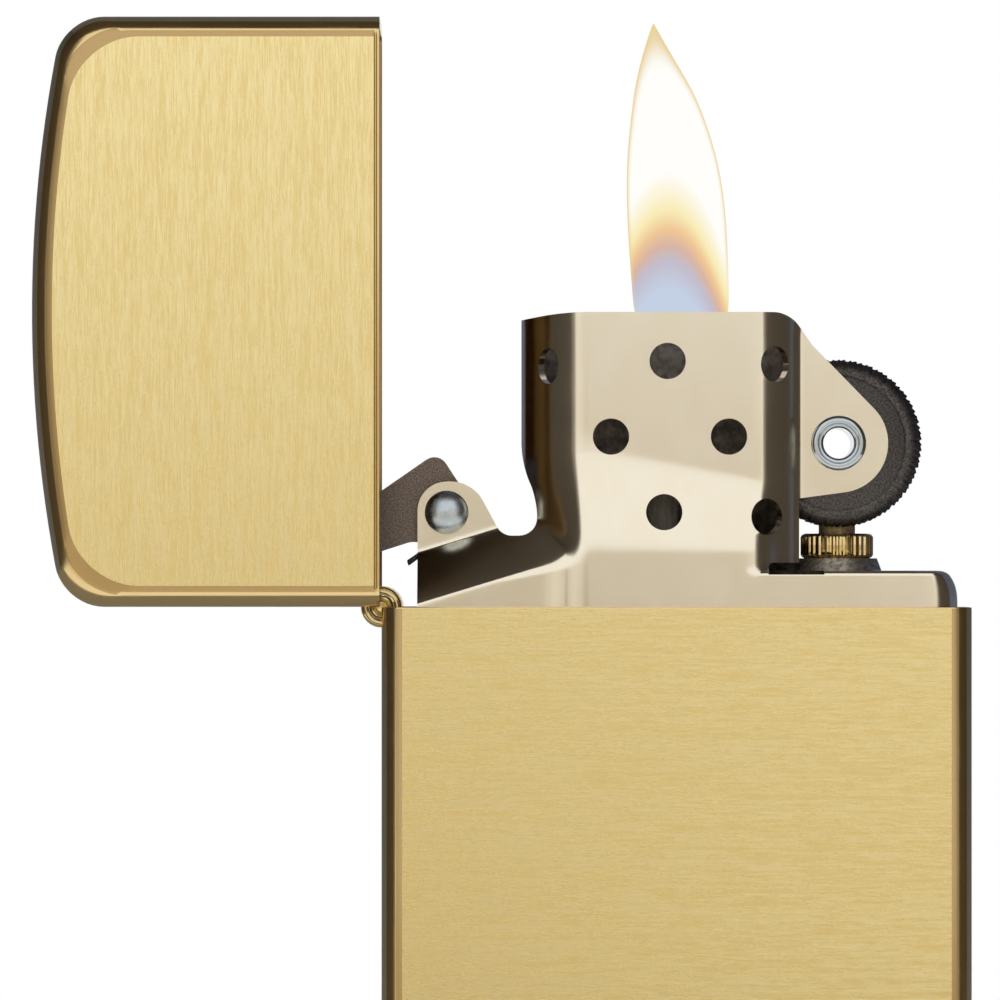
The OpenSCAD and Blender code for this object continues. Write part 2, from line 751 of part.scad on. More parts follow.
module cam_spring() {
    flat_z = deck_z + nest_gap;
    flat_end = spring_root + 1.6;
    bend_x = spring_root - 1.8;
    rest_x = in_left + 1.4;
    rest_end = in_left + 0.4;
    rest_z = cheek_high - 0.35;
    tip_x = in_left - 0.7;
    tip_z = cheek_high - 0.75;
    lean = 0.1;
    color(dark_steel) translate([0, 0, case_h]) difference() {
        front_plate(-spring_w / 2, spring_w / 2) polygon([
            [flat_end, flat_z],
            [flat_end, flat_z + spring_t],
            [bend_x - lean, flat_z + spring_t],
            [rest_x, rest_z + spring_t],
            [rest_end, rest_z + spring_t],
            [tip_x, tip_z],
            [tip_x + lean, tip_z - spring_t],
            [rest_end, rest_z],
            [rest_x, rest_z],
            [bend_x, flat_z]
        ]);
        translate([spring_root, 0, 0]) cylinder(r = spring_pin_r + nest_gap, h = 2 * cheek_high);
    }
}

module spring_rivet() {
    head_r = 1.1;
    head_h = 0.4;
    head_z = deck_z + spring_t + 2 * nest_gap;
    color(bright_steel) translate([spring_root, 0, case_h]) {
        translate([0, 0, deck_z - deck_t]) cylinder(r = spring_pin_r, h = head_z - deck_z + deck_t);
        translate([0, 0, head_z]) cylinder(r1 = head_r, r2 = head_r - head_h / 2, h = head_h);
        translate([0, 0, deck_z - deck_t - head_h]) cylinder(r = head_r, h = head_h);
    }
}

module flint_tube() {
    color(brass) translate([wheel_x, 0, 0]) difference() {
        translate([0, 0, tube_z]) cylinder(r = tube_r, h = case_h + tube_top - tube_z);
        translate([0, 0, tube_z - cut]) cylinder(r = tube_bore, h = case_h + tube_top);
    }
}

module flint_collar() {
    step = 360 / collar_ridges;
    color(brass) translate([wheel_x, 0, case_h + skirt_h + washer_h]) difference() {
        intersection() {
            linear_extrude(collar_h) polygon([
                for (i = [0:collar_ridges - 1]) each [
                    collar_r * [cos(i * step), sin(i * step)],
                    (collar_r - ridge_h) * [cos((i + 0.5) * step), sin((i + 0.5) * step)]
                ]
            ]);
            cylinder(r1 = collar_r + collar_h - 2 * ridge_h, r2 = collar_r - 2 * ridge_h, h = collar_h);
        }
        translate([0, 0, -cut]) cylinder(r = tube_r + nest_gap, h = collar_h + 2 * cut);
    }
}

module collar_washer() {
    flare = 0.3;
    color(dark_steel) translate([wheel_x, 0, case_h + skirt_h]) difference() {
        cylinder(r1 = washer_r, r2 = washer_r - flare, h = washer_h);
        translate([0, 0, -cut]) cylinder(r = tube_r + nest_gap, h = washer_h + 2 * cut);
    }
}

// Flint, worn hollow by the wheel above it
module flint() {
    color(dark_steel) difference() {
        translate([wheel_x, 0, flint_low]) cylinder(r = flint_r, h = flint_len + flint_gap);
        across(wheel_x, wheel_z) translate([0, 0, -wheel_w])
            cylinder(r = wheel_r + flint_gap, h = 2 * wheel_w);
    }
}

// Coil spring under the flint: one wire wound round the tube's axis
coil_rings = 8;
coil_pitch = (coil_high - coil_low - 2 * wire_r) / spring_turns;
function coil_ring(i) =
    let (a = 360 * i / coil_rings, out = [cos(a), sin(a), 0])
    [coil_r * out + [0, 0, wire_r + coil_pitch * i / coil_rings], out, [0, 0, 1]];
coil = [for (i = [0:spring_turns * coil_rings]) coil_ring(i)];
coil_self_gap = min([
    for (i = [0:coil_rings - 1]) for (j = [coil_rings / 2:2 * coil_rings])
        norm(coil[i][0] - coil[i + j][0])
]) - 2 * wire_r;
echo(coil_self_gap = coil_self_gap);

module flint_spring() {
    sides = 6;
    color(bright_steel) translate([wheel_x, 0, coil_low])
        polyhedron(tube_points(coil, wire_r, sides), tube_faces(len(coil), sides), convexity = 10);
}

module flint_spring_tip() {
    peg_h = 1;
    color(brass) translate([wheel_x, 0, flint_low - nest_gap - tip_h]) {
        cylinder(r = flint_r, h = tip_h);
        translate([0, 0, -peg_h]) cylinder(r = coil_r * cos(180 / coil_rings) - wire_r - nest_gap, h = peg_h);
    }
}

module flint_screw() {
    slot_w = 0.7;
    slot_h = 0.6;
    color(brass) translate([wheel_x, 0, screw_z]) difference() {
        union() {
            cylinder(r = screw_head_r, h = screw_head_h - nest_gap);
            cylinder(r = tube_bore - nest_gap, h = screw_head_h + screw_len);
        }
        translate([-screw_head_r - cut, -slot_w / 2, -cut])
            cube([2 * (screw_head_r + cut), slot_w, slot_h + cut]);
    }
}

// Wick route in the plane y = 0: down through the deck, then from side to side between the wads
turn_steps = 8;
function turn_arc(cx, cz, a0, a1) =
    [for (i = [0:turn_steps]) let (a = a0 + (a1 - a0) * i / turn_steps)
        [cx + turn_r * cos(a), 0, cz + turn_r * sin(a), a + (a1 > a0 ? 90 : -90)]];
wick_route = concat(
    [[wick_x, 0, case_h + wick_top, -90]],
    turn_arc(wick_x - turn_r, run_z + turn_r, 0, -90),
    turn_arc(turn_left, run_z - turn_r, 90, 270),
    turn_arc(turn_right, run_z - 3 * turn_r, 90, -90),
    turn_arc(turn_left, run_z - 5 * turn_r, 90, 270),
    [[turn_right, 0, run_z - 6 * turn_r, 0]]
);

module wick() {
    sides = 8;
    rings = [for (p = wick_route)
        [[p.x, p.y, p.z], [-sin(p[3]), 0, cos(p[3])], [0, 1, 0]]];
    color(cotton) polyhedron(tube_points(rings, wick_r, sides), tube_faces(len(rings), sides),
        convexity = 6);
}

// Cotton wad under one run of the wick, its free end rounded inside the wick's turn
module packing_wad(i) {
    half = turn_r - wick_r - soft_gap;
    mid_z = run_z - (2 * i - 1) * turn_r;
    last = i == 4;
    turn_end = i % 2 == 1 ? turn_left : turn_right;
    wall_end = i % 2 == 1 ? fill_right : fill_left;
    depth = in_y - neck_in - sheet - soft_gap;
    low = last ? fill_low : mid_z - half;
    end_r = last ? half / 8 : half * 0.98;
    reach = last ? fill_left : turn_end + (i % 2 == 1 ? -half : half);
    far = last ? fill_right : wall_end;
    color(cotton) front_plate(-depth, depth) polygon(rounded([
        [reach, low, end_r],
        [far, low, half / 8],
        [far, mid_z + half, half / 8],
        [reach, mid_z + half, end_r]
    ]));
}

module packing_wad_1() {
    packing_wad(1);
}

module packing_wad_2() {
    packing_wad(2);
}

module packing_wad_3() {
    packing_wad(3);
}

module packing_wad_4() {
    packing_wad(4);
}

module felt_pad() {
    margin = neck_in + sheet + soft_gap;
    color(cotton) translate([0, 0, felt_z]) difference() {
        linear_extrude(felt_t) insert_plan(margin, soft_gap);
        translate([wheel_x, 0, -cut]) cylinder(r = screw_head_r + soft_gap, h = felt_t + 2 * cut);
    }
}

case_shell();
case_hinge_leaf();
hinge_pin();
lid_shell();
lid_hinge_leaf();
fuel_tank();
deck_plate();
chimney();
wheel_rivet();
spark_wheel();
cam();
cam_rivet();
cam_spring();
spring_rivet();
flint_tube();
flint_collar();
collar_washer();
flint();
flint_spring();
flint_spring_tip();
flint_screw();
wick();
packing_wad_1();
packing_wad_2();
packing_wad_3();
packing_wad_4();
felt_pad();
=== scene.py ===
"""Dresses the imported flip-top lighter: brushed brass shells, champagne insert, steel works and a flame."""
import json
import math

import bmesh
import bpy
from bpy.props import FloatProperty, FloatVectorProperty, PointerProperty
from bpy.types import Operator, Panel, PropertyGroup, Scene
from mathutils import Matrix, Vector

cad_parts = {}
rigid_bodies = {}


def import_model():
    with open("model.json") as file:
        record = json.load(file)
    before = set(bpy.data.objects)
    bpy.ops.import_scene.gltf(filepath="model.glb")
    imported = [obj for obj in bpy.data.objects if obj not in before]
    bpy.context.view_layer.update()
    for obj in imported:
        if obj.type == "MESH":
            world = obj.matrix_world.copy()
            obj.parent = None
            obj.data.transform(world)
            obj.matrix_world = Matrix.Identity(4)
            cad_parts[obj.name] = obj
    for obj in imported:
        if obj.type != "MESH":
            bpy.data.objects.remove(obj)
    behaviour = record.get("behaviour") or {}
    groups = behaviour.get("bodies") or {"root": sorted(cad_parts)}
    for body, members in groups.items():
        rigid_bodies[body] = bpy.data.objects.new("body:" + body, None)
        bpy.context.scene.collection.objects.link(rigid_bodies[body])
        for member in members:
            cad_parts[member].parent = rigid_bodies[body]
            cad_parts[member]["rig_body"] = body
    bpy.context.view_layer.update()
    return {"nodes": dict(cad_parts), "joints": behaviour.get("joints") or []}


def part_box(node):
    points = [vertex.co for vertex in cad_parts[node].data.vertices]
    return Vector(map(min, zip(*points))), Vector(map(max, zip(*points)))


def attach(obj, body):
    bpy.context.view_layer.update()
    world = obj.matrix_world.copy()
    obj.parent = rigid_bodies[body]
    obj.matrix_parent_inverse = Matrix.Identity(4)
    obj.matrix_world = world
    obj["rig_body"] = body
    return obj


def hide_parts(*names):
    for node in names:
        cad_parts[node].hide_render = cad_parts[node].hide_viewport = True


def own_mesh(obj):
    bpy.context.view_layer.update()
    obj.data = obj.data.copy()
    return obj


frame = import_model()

bl_info = {
    "name": "Flip-top lighter",
    "version": (1, 0, 0),
    "blender": (4, 5, 0),
    "location": "View3D > Sidebar > Lighter",
    "description": "Builds the looks of a flip-top petrol lighter round its packed CAD frame",
    "category": "Object",
}

MM = 0.001
# Places within these are taken as one, in millimetres: loosely, and closely
NEAR = 0.01
TOUCH = 0.001

# Photograph: its size, its scale at the case's front face, and where the rim and the case's middle lie in it
PHOTO_PX = 1000
PX_PER_MM = 15.57
RIM_PY = 607
CASE_MID_PX = 677
# Height of the camera's eye in the photograph, and its way from the case in millimetres
EYE_PY = 577
CAMERA_AWAY = 600
# How far the floor is lifted to its paper's own tone, for the eye and in the metal
FLOOR_LIFT = 0.62
FLOOR_SHINE = 0.1

NODES = frame["nodes"]
JOINTS = {joint["name"]: joint for joint in frame["joints"]}


def corners(node):
    """Lowest and highest corner of a CAD node, in millimetres."""
    return [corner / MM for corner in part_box(node)]


# Places read from the frame, in millimetres
CASE_LOW, CASE_HIGH = corners("case_shell")
LID_LOW, LID_HIGH = corners("lid_shell")
INSERT_LOW, INSERT_HIGH = corners("chimney")
WICK_LOW, WICK_HIGH = corners("wick")
DECK_LOW = corners("deck_plate")[0]
RIM_Z = CASE_HIGH.z
HINGE = Vector(JOINTS["lid_hinge"]["pos_m"]) / MM
WHEEL = Vector(JOINTS["wheel_spin"]["pos_m"]) / MM
CAM = Vector(JOINTS["cam_pivot"]["pos_m"]) / MM


def linear(code):
    """Linear colour of an sRGB hex code."""
    channels = [int(code[i:i + 2], 16) / 255 for i in (1, 3, 5)]
    return tuple(c / 12.92 if c <= 0.04045 else ((c + 0.055) / 1.055) ** 2.4 for c in channels)


def length(name, description, default):
    """A size property in millimetres, kept in metres."""
    return FloatProperty(
        name=name, description=description, default=default * MM, unit="LENGTH", subtype="DISTANCE")


def colour(name, description, code):
    """A colour property with an sRGB default."""
    return FloatVectorProperty(
        name=name, description=description, default=linear(code), subtype="COLOR", min=0, max=1)


class LighterSizes(PropertyGroup):
    """Sizes of the details that the frame doesn't give."""
    wall: length("Case wall", "Sheet thickness of the case and lid", 0.7)
    edge: length("Edge rounding", "Width of the polished band round the brushed faces", 0.95)
    ramp: length("Edge ramp", "Width of the shallow ramp between a brushed face and its polished band", 0.4)
    edge_depth: length("Edge depth", "Depth of the polished band towards the sides", 1.2)
    corner: length("Corner", "Rounding of the outline's corners", 2.6)
    face_corner: length("Face corner", "Rounding of the brushed face's corners", 3.8)
    arch: length("Lid arch", "Radius of the arch of the lid's end", 90)
    lip: length("Lid lip", "Width of the bare lip round the lid's mouth", 0.2)
    lip_groove: length("Lip groove", "Width of the groove beside the lip", 0.13)
    notch: length("Hinge notch", "Half height of the room for the knuckles in the wall", 1.46)
    notch_reach: length("Hinge notch reach", "Half length of the room for the knuckles", 5.04)
    sheet: length("Insert sheet", "Sheet thickness of the insert", 0.5)
    wick_r: length("Wick radius", "Radius of the wick", 1)
    hole_r: length("Air hole radius", "Radius of the chimney's air holes", 1.17)


class LighterColours(PropertyGroup):
    """Colours of the finishes."""
    brass: colour("Brushed brass", "Lit streaks of the brushed faces", "#ffedb2")
    brass_deep: colour("Brushed brass, deep", "Dark streaks of the brushed faces", "#f5dd98")
    edge_brass: colour("Polished brass", "Edges and hinge", "#e6cb92")
    # The buffed ramp's deeper tone is painted shade: the dark line where a brushed face turns into its
    # polished band
    ramp_brass: colour("Buffed brass", "Ramp beside the brushed faces", "#c0a370")
    inside_brass: colour("Drawn brass", "Inside of the case and lid", "#b4945c")
    champagne: colour("Champagne steel", "Tinted insert", "#f1e7d1")
    champagne_bright: colour("Champagne steel, bright", "Where the insert's tint is polished thin", "#fffdf6")
    black: colour("Blackened steel", "Spark wheel", "#5d5957")
    sintered: colour("Sintered steel", "Cam", "#7a6e65")
    zinc: colour("Zinc-plated steel", "Rivets and pin", "#c3cbd0")
    spring: colour("Blued steel", "Springs", "#3a3c40")
    # Dark steel for the insert's cut edges and the block behind its slot: partly bare steel, partly painted
    # shade of the slot
    cut_steel: colour("Bare cut steel", "Slot at the chimney's foot", "#423a36")
    soot: colour("Soot", "Inside of the chimney", "#978c80")
    washer: colour("Dark washer", "Washer under the collar", "#aea69a")
    cotton: colour("Cotton", "Wick and wads", "#e3dccb")
    felt: colour("Felt", "Pad under the wads", "#b9b2a3")
    flint: colour("Flint", "Flint rod", "#bda57a")


def add(tree, kind, links=None, **settings):
    """Adds a node with its settings. links gives its inputs, each a value or another node's output."""
    made = tree.nodes.new(kind)
    for key, value in settings.items():
        setattr(made, key, value)
    for key, value in (links or {}).items():
        if isinstance(value, bpy.types.NodeSocket):
            tree.links.new(value, made.inputs[key])
        else:
            made.inputs[key].default_value = value
    return made


def new_material(name, **constants):
    """A material with a Principled shader whose sockets hold the constants."""
    material = bpy.data.materials.new(name)
    material.use_nodes = True
    shader = material.node_tree.nodes["Principled BSDF"]
    for key, value in constants.items():
        socket = shader.inputs[key.replace("_", " ").title().replace("Ior", "IOR")]
        socket.default_value = (*value, 1) if key == "base_color" else value
    return material, material.node_tree, shader


def paint(name):
    """A colour setting."""
    return tuple(getattr(bpy.context.scene.lighter_colours, name))


def rgba(value):
    """A colour as a socket value."""
    return (*value, 1)


def grain(tree, width, run, axis, detail=3.0):
    """Noise drawn out into streaks: width across in millimetres, run along the axis."""
    scale = [1 / (width * MM)] * 3
    scale["XYZ".index(axis)] = 1 / (run * MM)
    place = add(tree, "ShaderNodeTexCoord").outputs["Object"]
    stretched = add(tree, "ShaderNodeMapping", {"Vector": place, "Scale": scale}).outputs["Vector"]
    noise = add(tree, "ShaderNodeTexNoise", {
        "Vector": stretched, "Scale": 1.0, "Detail": detail, "Roughness": 0.6})
    return noise.outputs["Fac"]


# Most values of a grain lie in this span
GRAIN_SPAN = (0.3, 0.7)


def patterned(tree, shader, pattern, span, tones=None, rough=None, relief=None):
    """Lets a pattern lead the shader from one tone and roughness to another over a span of its values.

    relief gives the pattern that stands up from the surface, and its depth in millimetres.
    """
    share = add(tree, "ShaderNodeMapRange", {
        "Value": pattern, "From Min": span[0], "From Max": span[1],
    }, interpolation_type="SMOOTHSTEP").outputs["Result"]
    if tones:
        tone = add(tree, "ShaderNodeMix", {0: share, 6: rgba(tones[0]), 7: rgba(tones[1])}, data_type="RGBA")
        tree.links.new(tone.outputs[2], shader.inputs["Base Color"])
    if rough:
        shine = add(tree, "ShaderNodeMix", {0: share, 2: rough[0], 3: rough[1]})
        tree.links.new(shine.outputs[0], shader.inputs["Roughness"])
    if relief:
        bump = add(tree, "ShaderNodeBump", {"Height": relief[0], "Distance": relief[1] * MM, "Strength": 1.0})
        tree.links.new(bump.outputs["Normal"], shader.inputs["Normal"])


def brushed_brass(name, axis):
    """Brass sheet brushed along one axis: long fine scratches that spread the light across them."""
    material, tree, shader = new_material(name, metallic=1.0)
    # Scratches are about 0.05 mm wide on such a case, drawn at 0.13 mm so that they show
    fine = grain(tree, 0.13, 1.5, axis, 2.0)
    long = grain(tree, 0.2, 3.2, axis, 2.0)
    streak = add(tree, "ShaderNodeMath", {0: fine, 1: long}, operation="ADD").outputs[0]
    patterned(
        tree, shader, streak, (0.7, 1.3), (paint("brass_deep"), paint("brass")), (0.3, 0.24), (fine, 0.0015))
    return material


def polished_brass(name):
    """Brass polished on the wheel: clear reflections, a little smeared by handling."""
    material, tree, shader = new_material(name, metallic=1.0, base_color=paint("edge_brass"))
    patterned(tree, shader, grain(tree, 3, 5, "Z"), (0.35, 0.7), rough=(0.1, 0.18))
    return material


def buffed_brass_painted_shade(name):
    """Brass that only the buffing mop reaches, beside the brushed faces: a soft shine, and a deeper tone that
    is painted shade.
    """
    return new_material(name, metallic=1.0, base_color=paint("ramp_brass"), roughness=0.2)[0]


def drawn_brass(name):
    """Brass as the press leaves it, inside the shells: a dull satin with marks along the draw."""
    material, tree, shader = new_material(name, metallic=1.0, base_color=paint("inside_brass"))
    patterned(tree, shader, grain(tree, 0.3, 8, "Z"), GRAIN_SPAN, rough=(0.32, 0.45))
    return material


def shell_brass(shell, axis):
    """The four finishes of a shell, in the order of its slots, brushed along the axis."""
    return [
        polished_brass(f"polished_{shell}_brass"), brushed_brass(f"brushed_{shell}_brass", axis),
        drawn_brass(f"drawn_{shell}_brass"), buffed_brass_painted_shade(f"buffed_{shell}_brass")]


def champagne_steel(name):
    """Steel sheet plated a pale tan: soft reflections, with faint draw marks from the press."""
    material, tree, shader = new_material(name, metallic=1.0)
    smear = grain(tree, 2.2, 4, "Z", 4.0)
    # Handling takes the plating this far towards its bright tone
    tint, bright, worn = paint("champagne"), paint("champagne_bright"), 0.15
    thin = tuple(a + (b - a) * worn for a, b in zip(tint, bright))
    patterned(tree, shader, smear, (0.35, 0.75), (tint, thin))
    patterned(tree, shader, smear, GRAIN_SPAN, rough=(0.15, 0.19), relief=(grain(tree, 0.25, 6, "Z"), 0.0015))
    return material


def grainy_metal(name, tone, speck, depth, rough, metallic=1.0):
    """Metal with a fine random grain: speck is the grain's size and depth its relief in millimetres."""
    material, tree, shader = new_material(name, metallic=metallic)
    noise = grain(tree, speck, speck, "X", 2.0)
    # Pits are darker and rougher than the tops between them
    tones = tuple(c * 0.65 for c in tone), tuple(min(1, c * 1.4) for c in tone)
    patterned(tree, shader, noise, GRAIN_SPAN, tones, (rough + 0.08, rough - 0.08), (noise, depth))
    return material


def plated_steel(name, rough):
    """Zinc-plated steel: a smooth blue-grey shine with soft clouds in it."""
    material, tree, shader = new_material(name, metallic=1.0, base_color=paint("zinc"))
    cloud = grain(tree, 0.5, 0.5, "Z", 2.0)
    patterned(tree, shader, cloud, GRAIN_SPAN, rough=(rough + 0.05, rough - 0.05))
    return material


def fibrous(name, tone, thread):
    """Loose cotton or felt: matt and woolly, with threads of that width in millimetres."""
    material, tree, shader = new_material(name, roughness=0.95, sheen_weight=0.3)
    noise = grain(tree, thread, thread * 6, "Z", 4.0)
    dark = tuple(c * 0.6 for c in tone)
    patterned(tree, shader, noise, GRAIN_SPAN, (dark, tone), relief=(noise, thread / 2))
    return material


def size(name):
    """A size setting, in millimetres."""
    return getattr(bpy.context.scene.lighter_sizes, name) / MM


def put_piece(bm, name, body, materials, stands_for=()):
    """Makes a mesh in millimetres an object at the origin that rides on a body and stands for CAD nodes."""
    bmesh.ops.scale(bm, vec=(MM, MM, MM), verts=bm.verts)
    mesh = bpy.data.meshes.new(name)
    bm.to_mesh(mesh)
    bm.free()
    for material in materials:
        mesh.materials.append(material)
    piece = bpy.data.objects.new(name, mesh)
    bpy.context.scene.collection.objects.link(piece)
    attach(piece, body)
    if stands_for:
        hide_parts(*stands_for)
    return piece


def shade(bm, angle=30, flat=()):
    """Smooth faces, with edges sharper than the angle kept crisp. Faces of the flat materials stay flat."""
    for face in bm.faces:
        face.smooth = face.material_index not in flat
    for edge in bm.edges:
        edge.smooth = edge.calc_face_angle(0) < math.radians(angle)


# Slots of a work mesh. The inside of a brushed face takes the last of them
WORK_SLOTS = 3


def temporary(bm):
    """An object that holds a mesh while a modifier works on it."""
    mesh = bpy.data.meshes.new("work")
    bm.to_mesh(mesh)
    bm.free()
    for _ in range(WORK_SLOTS):
        mesh.materials.append(None)
    item = bpy.data.objects.new("work", mesh)
    bpy.context.scene.collection.objects.link(item)
    return item


def worked(bm, kind, **settings):
    """The mesh after one modifier. A mesh among the settings becomes an object for it."""
    items = [temporary(bm)]
    modifier = items[0].modifiers.new("work", kind)
    for key, value in settings.items():
        if isinstance(value, bmesh.types.BMesh):
            value = temporary(value)
            items.append(value)
        setattr(modifier, key, value)
    result = bmesh.new()
    result.from_mesh(items[0].evaluated_get(bpy.context.evaluated_depsgraph_get()).to_mesh())
    for item in items:
        bpy.data.meshes.remove(item.data)
    return result


def eased(bm, width, angle=50):
    """The mesh with a small rounding on its sharp edges, width in millimetres."""
    return worked(
        bm, "BEVEL", width=width, segments=2, limit_method="ANGLE", angle_limit=math.radians(angle),
        harden_normals=False)


def dress(node, material):
    """Gives a CAD node that keeps its mesh a better material."""
    NODES[node].data.materials.clear()
    NODES[node].data.materials.append(material)


def turned(bm, centre, angle, axis="Y"):
    """Turns a mesh about a line through a place."""
    bmesh.ops.rotate(
        bm, cent=centre, matrix=Matrix.Rotation(math.radians(angle), 3, axis), verts=bm.verts)


def cad_piece(node, material, angle=30, ease=0):
    """A merged and smoothly shaded copy of a CAD node that stands for it, its edges eased by that width."""
    bm = bmesh.new()
    bm.from_mesh(NODES[node].data)
    bmesh.ops.scale(bm, vec=(1 / MM, 1 / MM, 1 / MM), verts=bm.verts)
    bmesh.ops.remove_doubles(bm, verts=bm.verts, dist=0.0005)
    bmesh.ops.dissolve_limit(
        bm, angle_limit=math.radians(0.3), verts=bm.verts, edges=bm.edges, use_dissolve_boundaries=False)
    if ease:
        bm = eased(bm, ease)
    shade(bm, angle)
    return put_piece(bm, node + "_finished", NODES[node]["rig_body"], [material], (node,))


def lathe(profile, centre, steps=48):
    """A solid turned about a line along Y through centre. The profile gives radii and places along it."""
    bm = bmesh.new()
    line = [bm.verts.new((radius, along, 0)) for radius, along in profile]
    edges = [bm.edges.new(pair) for pair in zip(line, line[1:])]
    bmesh.ops.spin(
        bm, geom=line + edges, cent=(0, 0, 0), axis=(0, 1, 0), dvec=(0, 0, 0), angle=math.tau, steps=steps,
        use_merge=True)
    bmesh.ops.remove_doubles(bm, verts=bm.verts, dist=TOUCH)
    bmesh.ops.recalc_face_normals(bm, faces=bm.faces)
    bmesh.ops.translate(bm, vec=centre, verts=bm.verts)
    return bm


def both_ends(end, half):
    """A profile with the same end at both sides. The end gives radii and depths from its face."""
    near = [(radius, sunk - half) for radius, sunk in end]
    far = [(radius, half - sunk) for radius, sunk in reversed(end)]
    return near + far


def turned_size(node):
    """Half length and radius of a CAD node that is round about a line along Y."""
    low, high = corners(node)
    return (high.y - low.y) / 2, (high.x - low.x) / 2


def block(middle, extent):
    """A box about a place."""
    bm = bmesh.new()
    bmesh.ops.create_cube(bm, size=1, matrix=Matrix.Translation(middle) @ Matrix.Diagonal((*extent, 1)))
    return bm


def cut_mesh(bm, place, normal, **settings):
    """Cuts edges into the whole mesh along a plane."""
    bmesh.ops.bisect_plane(
        bm, geom=bm.verts[:] + bm.edges[:] + bm.faces[:], plane_co=place, plane_no=normal, **settings)


def cut_faces(bm, faces, place, normal):
    """Cuts edges into some faces of the mesh along a plane."""
    geom = faces + [edge for face in faces for edge in face.edges]
    geom += [vert for face in faces for vert in face.verts]
    bmesh.ops.bisect_plane(bm, geom=list(dict.fromkeys(geom)), plane_co=place, plane_no=normal)


def shell_loop(bm, width, height, inset, corner, y, arch):
    """One layer of a drawn shell: its mouth on z = 0, its far corners round and its far end arched."""
    half, top = width / 2 - inset, height - inset
    others = set(bm.faces)
    corners_xz = ((-half, 0), (half, 0), (half, top), (-half, top))
    outline = [bm.verts.new((x, y, z)) for x, z in corners_xz]
    bm.faces.new(outline)
    bmesh.ops.bevel(
        bm, geom=outline[2:], affect="VERTICES", offset=corner, offset_type="OFFSET", segments=12,
        profile=0.5, material=-1)
    face = next(face for face in bm.faces if face not in others)
    level = [edge for edge in face.edges if min(vert.co.z for vert in edge.verts) > top - NEAR]
    end = max(level, key=lambda edge: edge.calc_length())
    bmesh.ops.subdivide_edges(bm, edges=[end], cuts=24)
    face = next(face for face in bm.faces if face not in others)
    if arch:
        for vert in face.verts:
            if vert.co.z > 0:
                vert.co.z -= arch - math.sqrt(arch ** 2 - vert.co.x ** 2)
    return face


# Slots of a shell's finishes. The buffed ramp's deeper tone is painted shade
POLISHED, BRUSHED, DRAWN, BUFFED_SHADED = range(4)
# The rounding beside a shell's ramp starts at the ramp's own slant and turns in this many steps
EDGE_START = math.radians(12)
EDGE_STEPS = 8
# How squarely a shell's flat faces and its ramps look forward, as a share
FLAT_FACING = 0.999
RAMP_FACING = 0.97
# Easing of a shell's sharp edges in millimetres, and the angle that counts as sharp in degrees
SHELL_EASE = 0.1
SHELL_SHARP = 60


def drawn_shell(width, depth, height, notch, arch=0.0, lip=0.0):
    """Deep-drawn box, its mouth on z = 0: broad faces with a shallow ramp and a polished band round them."""
    bm = bmesh.new()
    edge, ramp = size("edge"), size("ramp")
    loops = []
    for side in (-1, 1):
        for i in range(EDGE_STEPS + 2):
            step = i if side < 0 else EDGE_STEPS + 1 - i
            turn = EDGE_START + (math.pi / 2 - EDGE_START) * max(0, step - 1) / EDGE_STEPS
            inset = edge * (1 - math.sin(turn)) / (1 - math.sin(EDGE_START))
            sink = size("edge_depth") * (1 - math.cos(turn) / math.cos(EDGE_START))
            sink += ramp * math.tan(EDGE_START)
            if step == 0:
                inset, sink = edge + ramp, 0
            corner = size("corner") + (size("face_corner") - size("corner")) * inset / (edge + ramp)
            face = shell_loop(bm, width, height, inset, corner, side * (depth / 2 - sink), arch)
            loops.append(list(face.edges))
            if step == 0:
                face.material_index = BRUSHED
            else:
                bmesh.ops.delete(bm, geom=[face], context="FACES_ONLY")
    for first, second in zip(loops, loops[1:]):
        bmesh.ops.bridge_loops(bm, edges=first + second)
    mouth = [face for face in bm.faces if all(abs(vert.co.z) < TOUCH for vert in face.verts)]
    bmesh.ops.delete(bm, geom=mouth, context="FACES")
    cut_notch(bm, width, notch)
    bmesh.ops.recalc_face_normals(bm, faces=bm.faces)
    bm = worked(
        bm, "SOLIDIFY", thickness=size("wall"), offset=-1, use_even_offset=True, material_offset=DRAWN,
        material_offset_rim=-1)
    if lip:
        score_lip(bm, lip, depth)
    bm = eased(bm, SHELL_EASE, SHELL_SHARP)
    # The bands round a brushed face took its slot when they were bridged. The ramp gets the buffed brass,
    # whose deeper tone is painted shade
    for face in bm.faces:
        if face.material_index == BRUSHED and abs(face.normal.y) < FLAT_FACING:
            face.material_index = BUFFED_SHADED if abs(face.normal.y) > RAMP_FACING else POLISHED
    shade(bm, 30, flat=(BRUSHED,))
    return bm


def score_lip(bm, lip, depth):
    """Scores a fine groove in the brushed faces, which leaves a bare lip of that width at the mouth."""
    groove = size("lip_groove")
    for z in (lip, lip + groove / 2, lip + groove, lip + 2 * groove):
        cut_mesh(bm, (0, 0, z), (0, 0, 1))
    for vert in bm.verts:
        if abs(vert.co.z - lip - groove / 2) < TOUCH and abs(vert.co.y) > depth / 2 - TOUCH:
            vert.co.y -= math.copysign(groove, vert.co.y)
    for face in bm.faces:
        if face.material_index == BRUSHED and face.calc_center_median().z < lip + groove:
            face.material_index = POLISHED


def cut_notch(bm, width, notch):
    """Takes the room for the hinge's knuckles out of the left wall, at the mouth."""
    reach = size("notch_reach")

    def wall():
        return [face for face in bm.faces if all(vert.co.x < NEAR - width / 2 for vert in face.verts)]

    for y in (-reach, reach):
        cut_faces(bm, wall(), (0, y, 0), (0, 1, 0))
    cut_faces(bm, wall(), (0, 0, notch), (0, 0, 1))
    places = {face: face.calc_center_median() for face in wall()}
    room = [face for face, place in places.items() if abs(place.y) < reach and place.z < notch]
    bmesh.ops.delete(bm, geom=room, context="FACES")


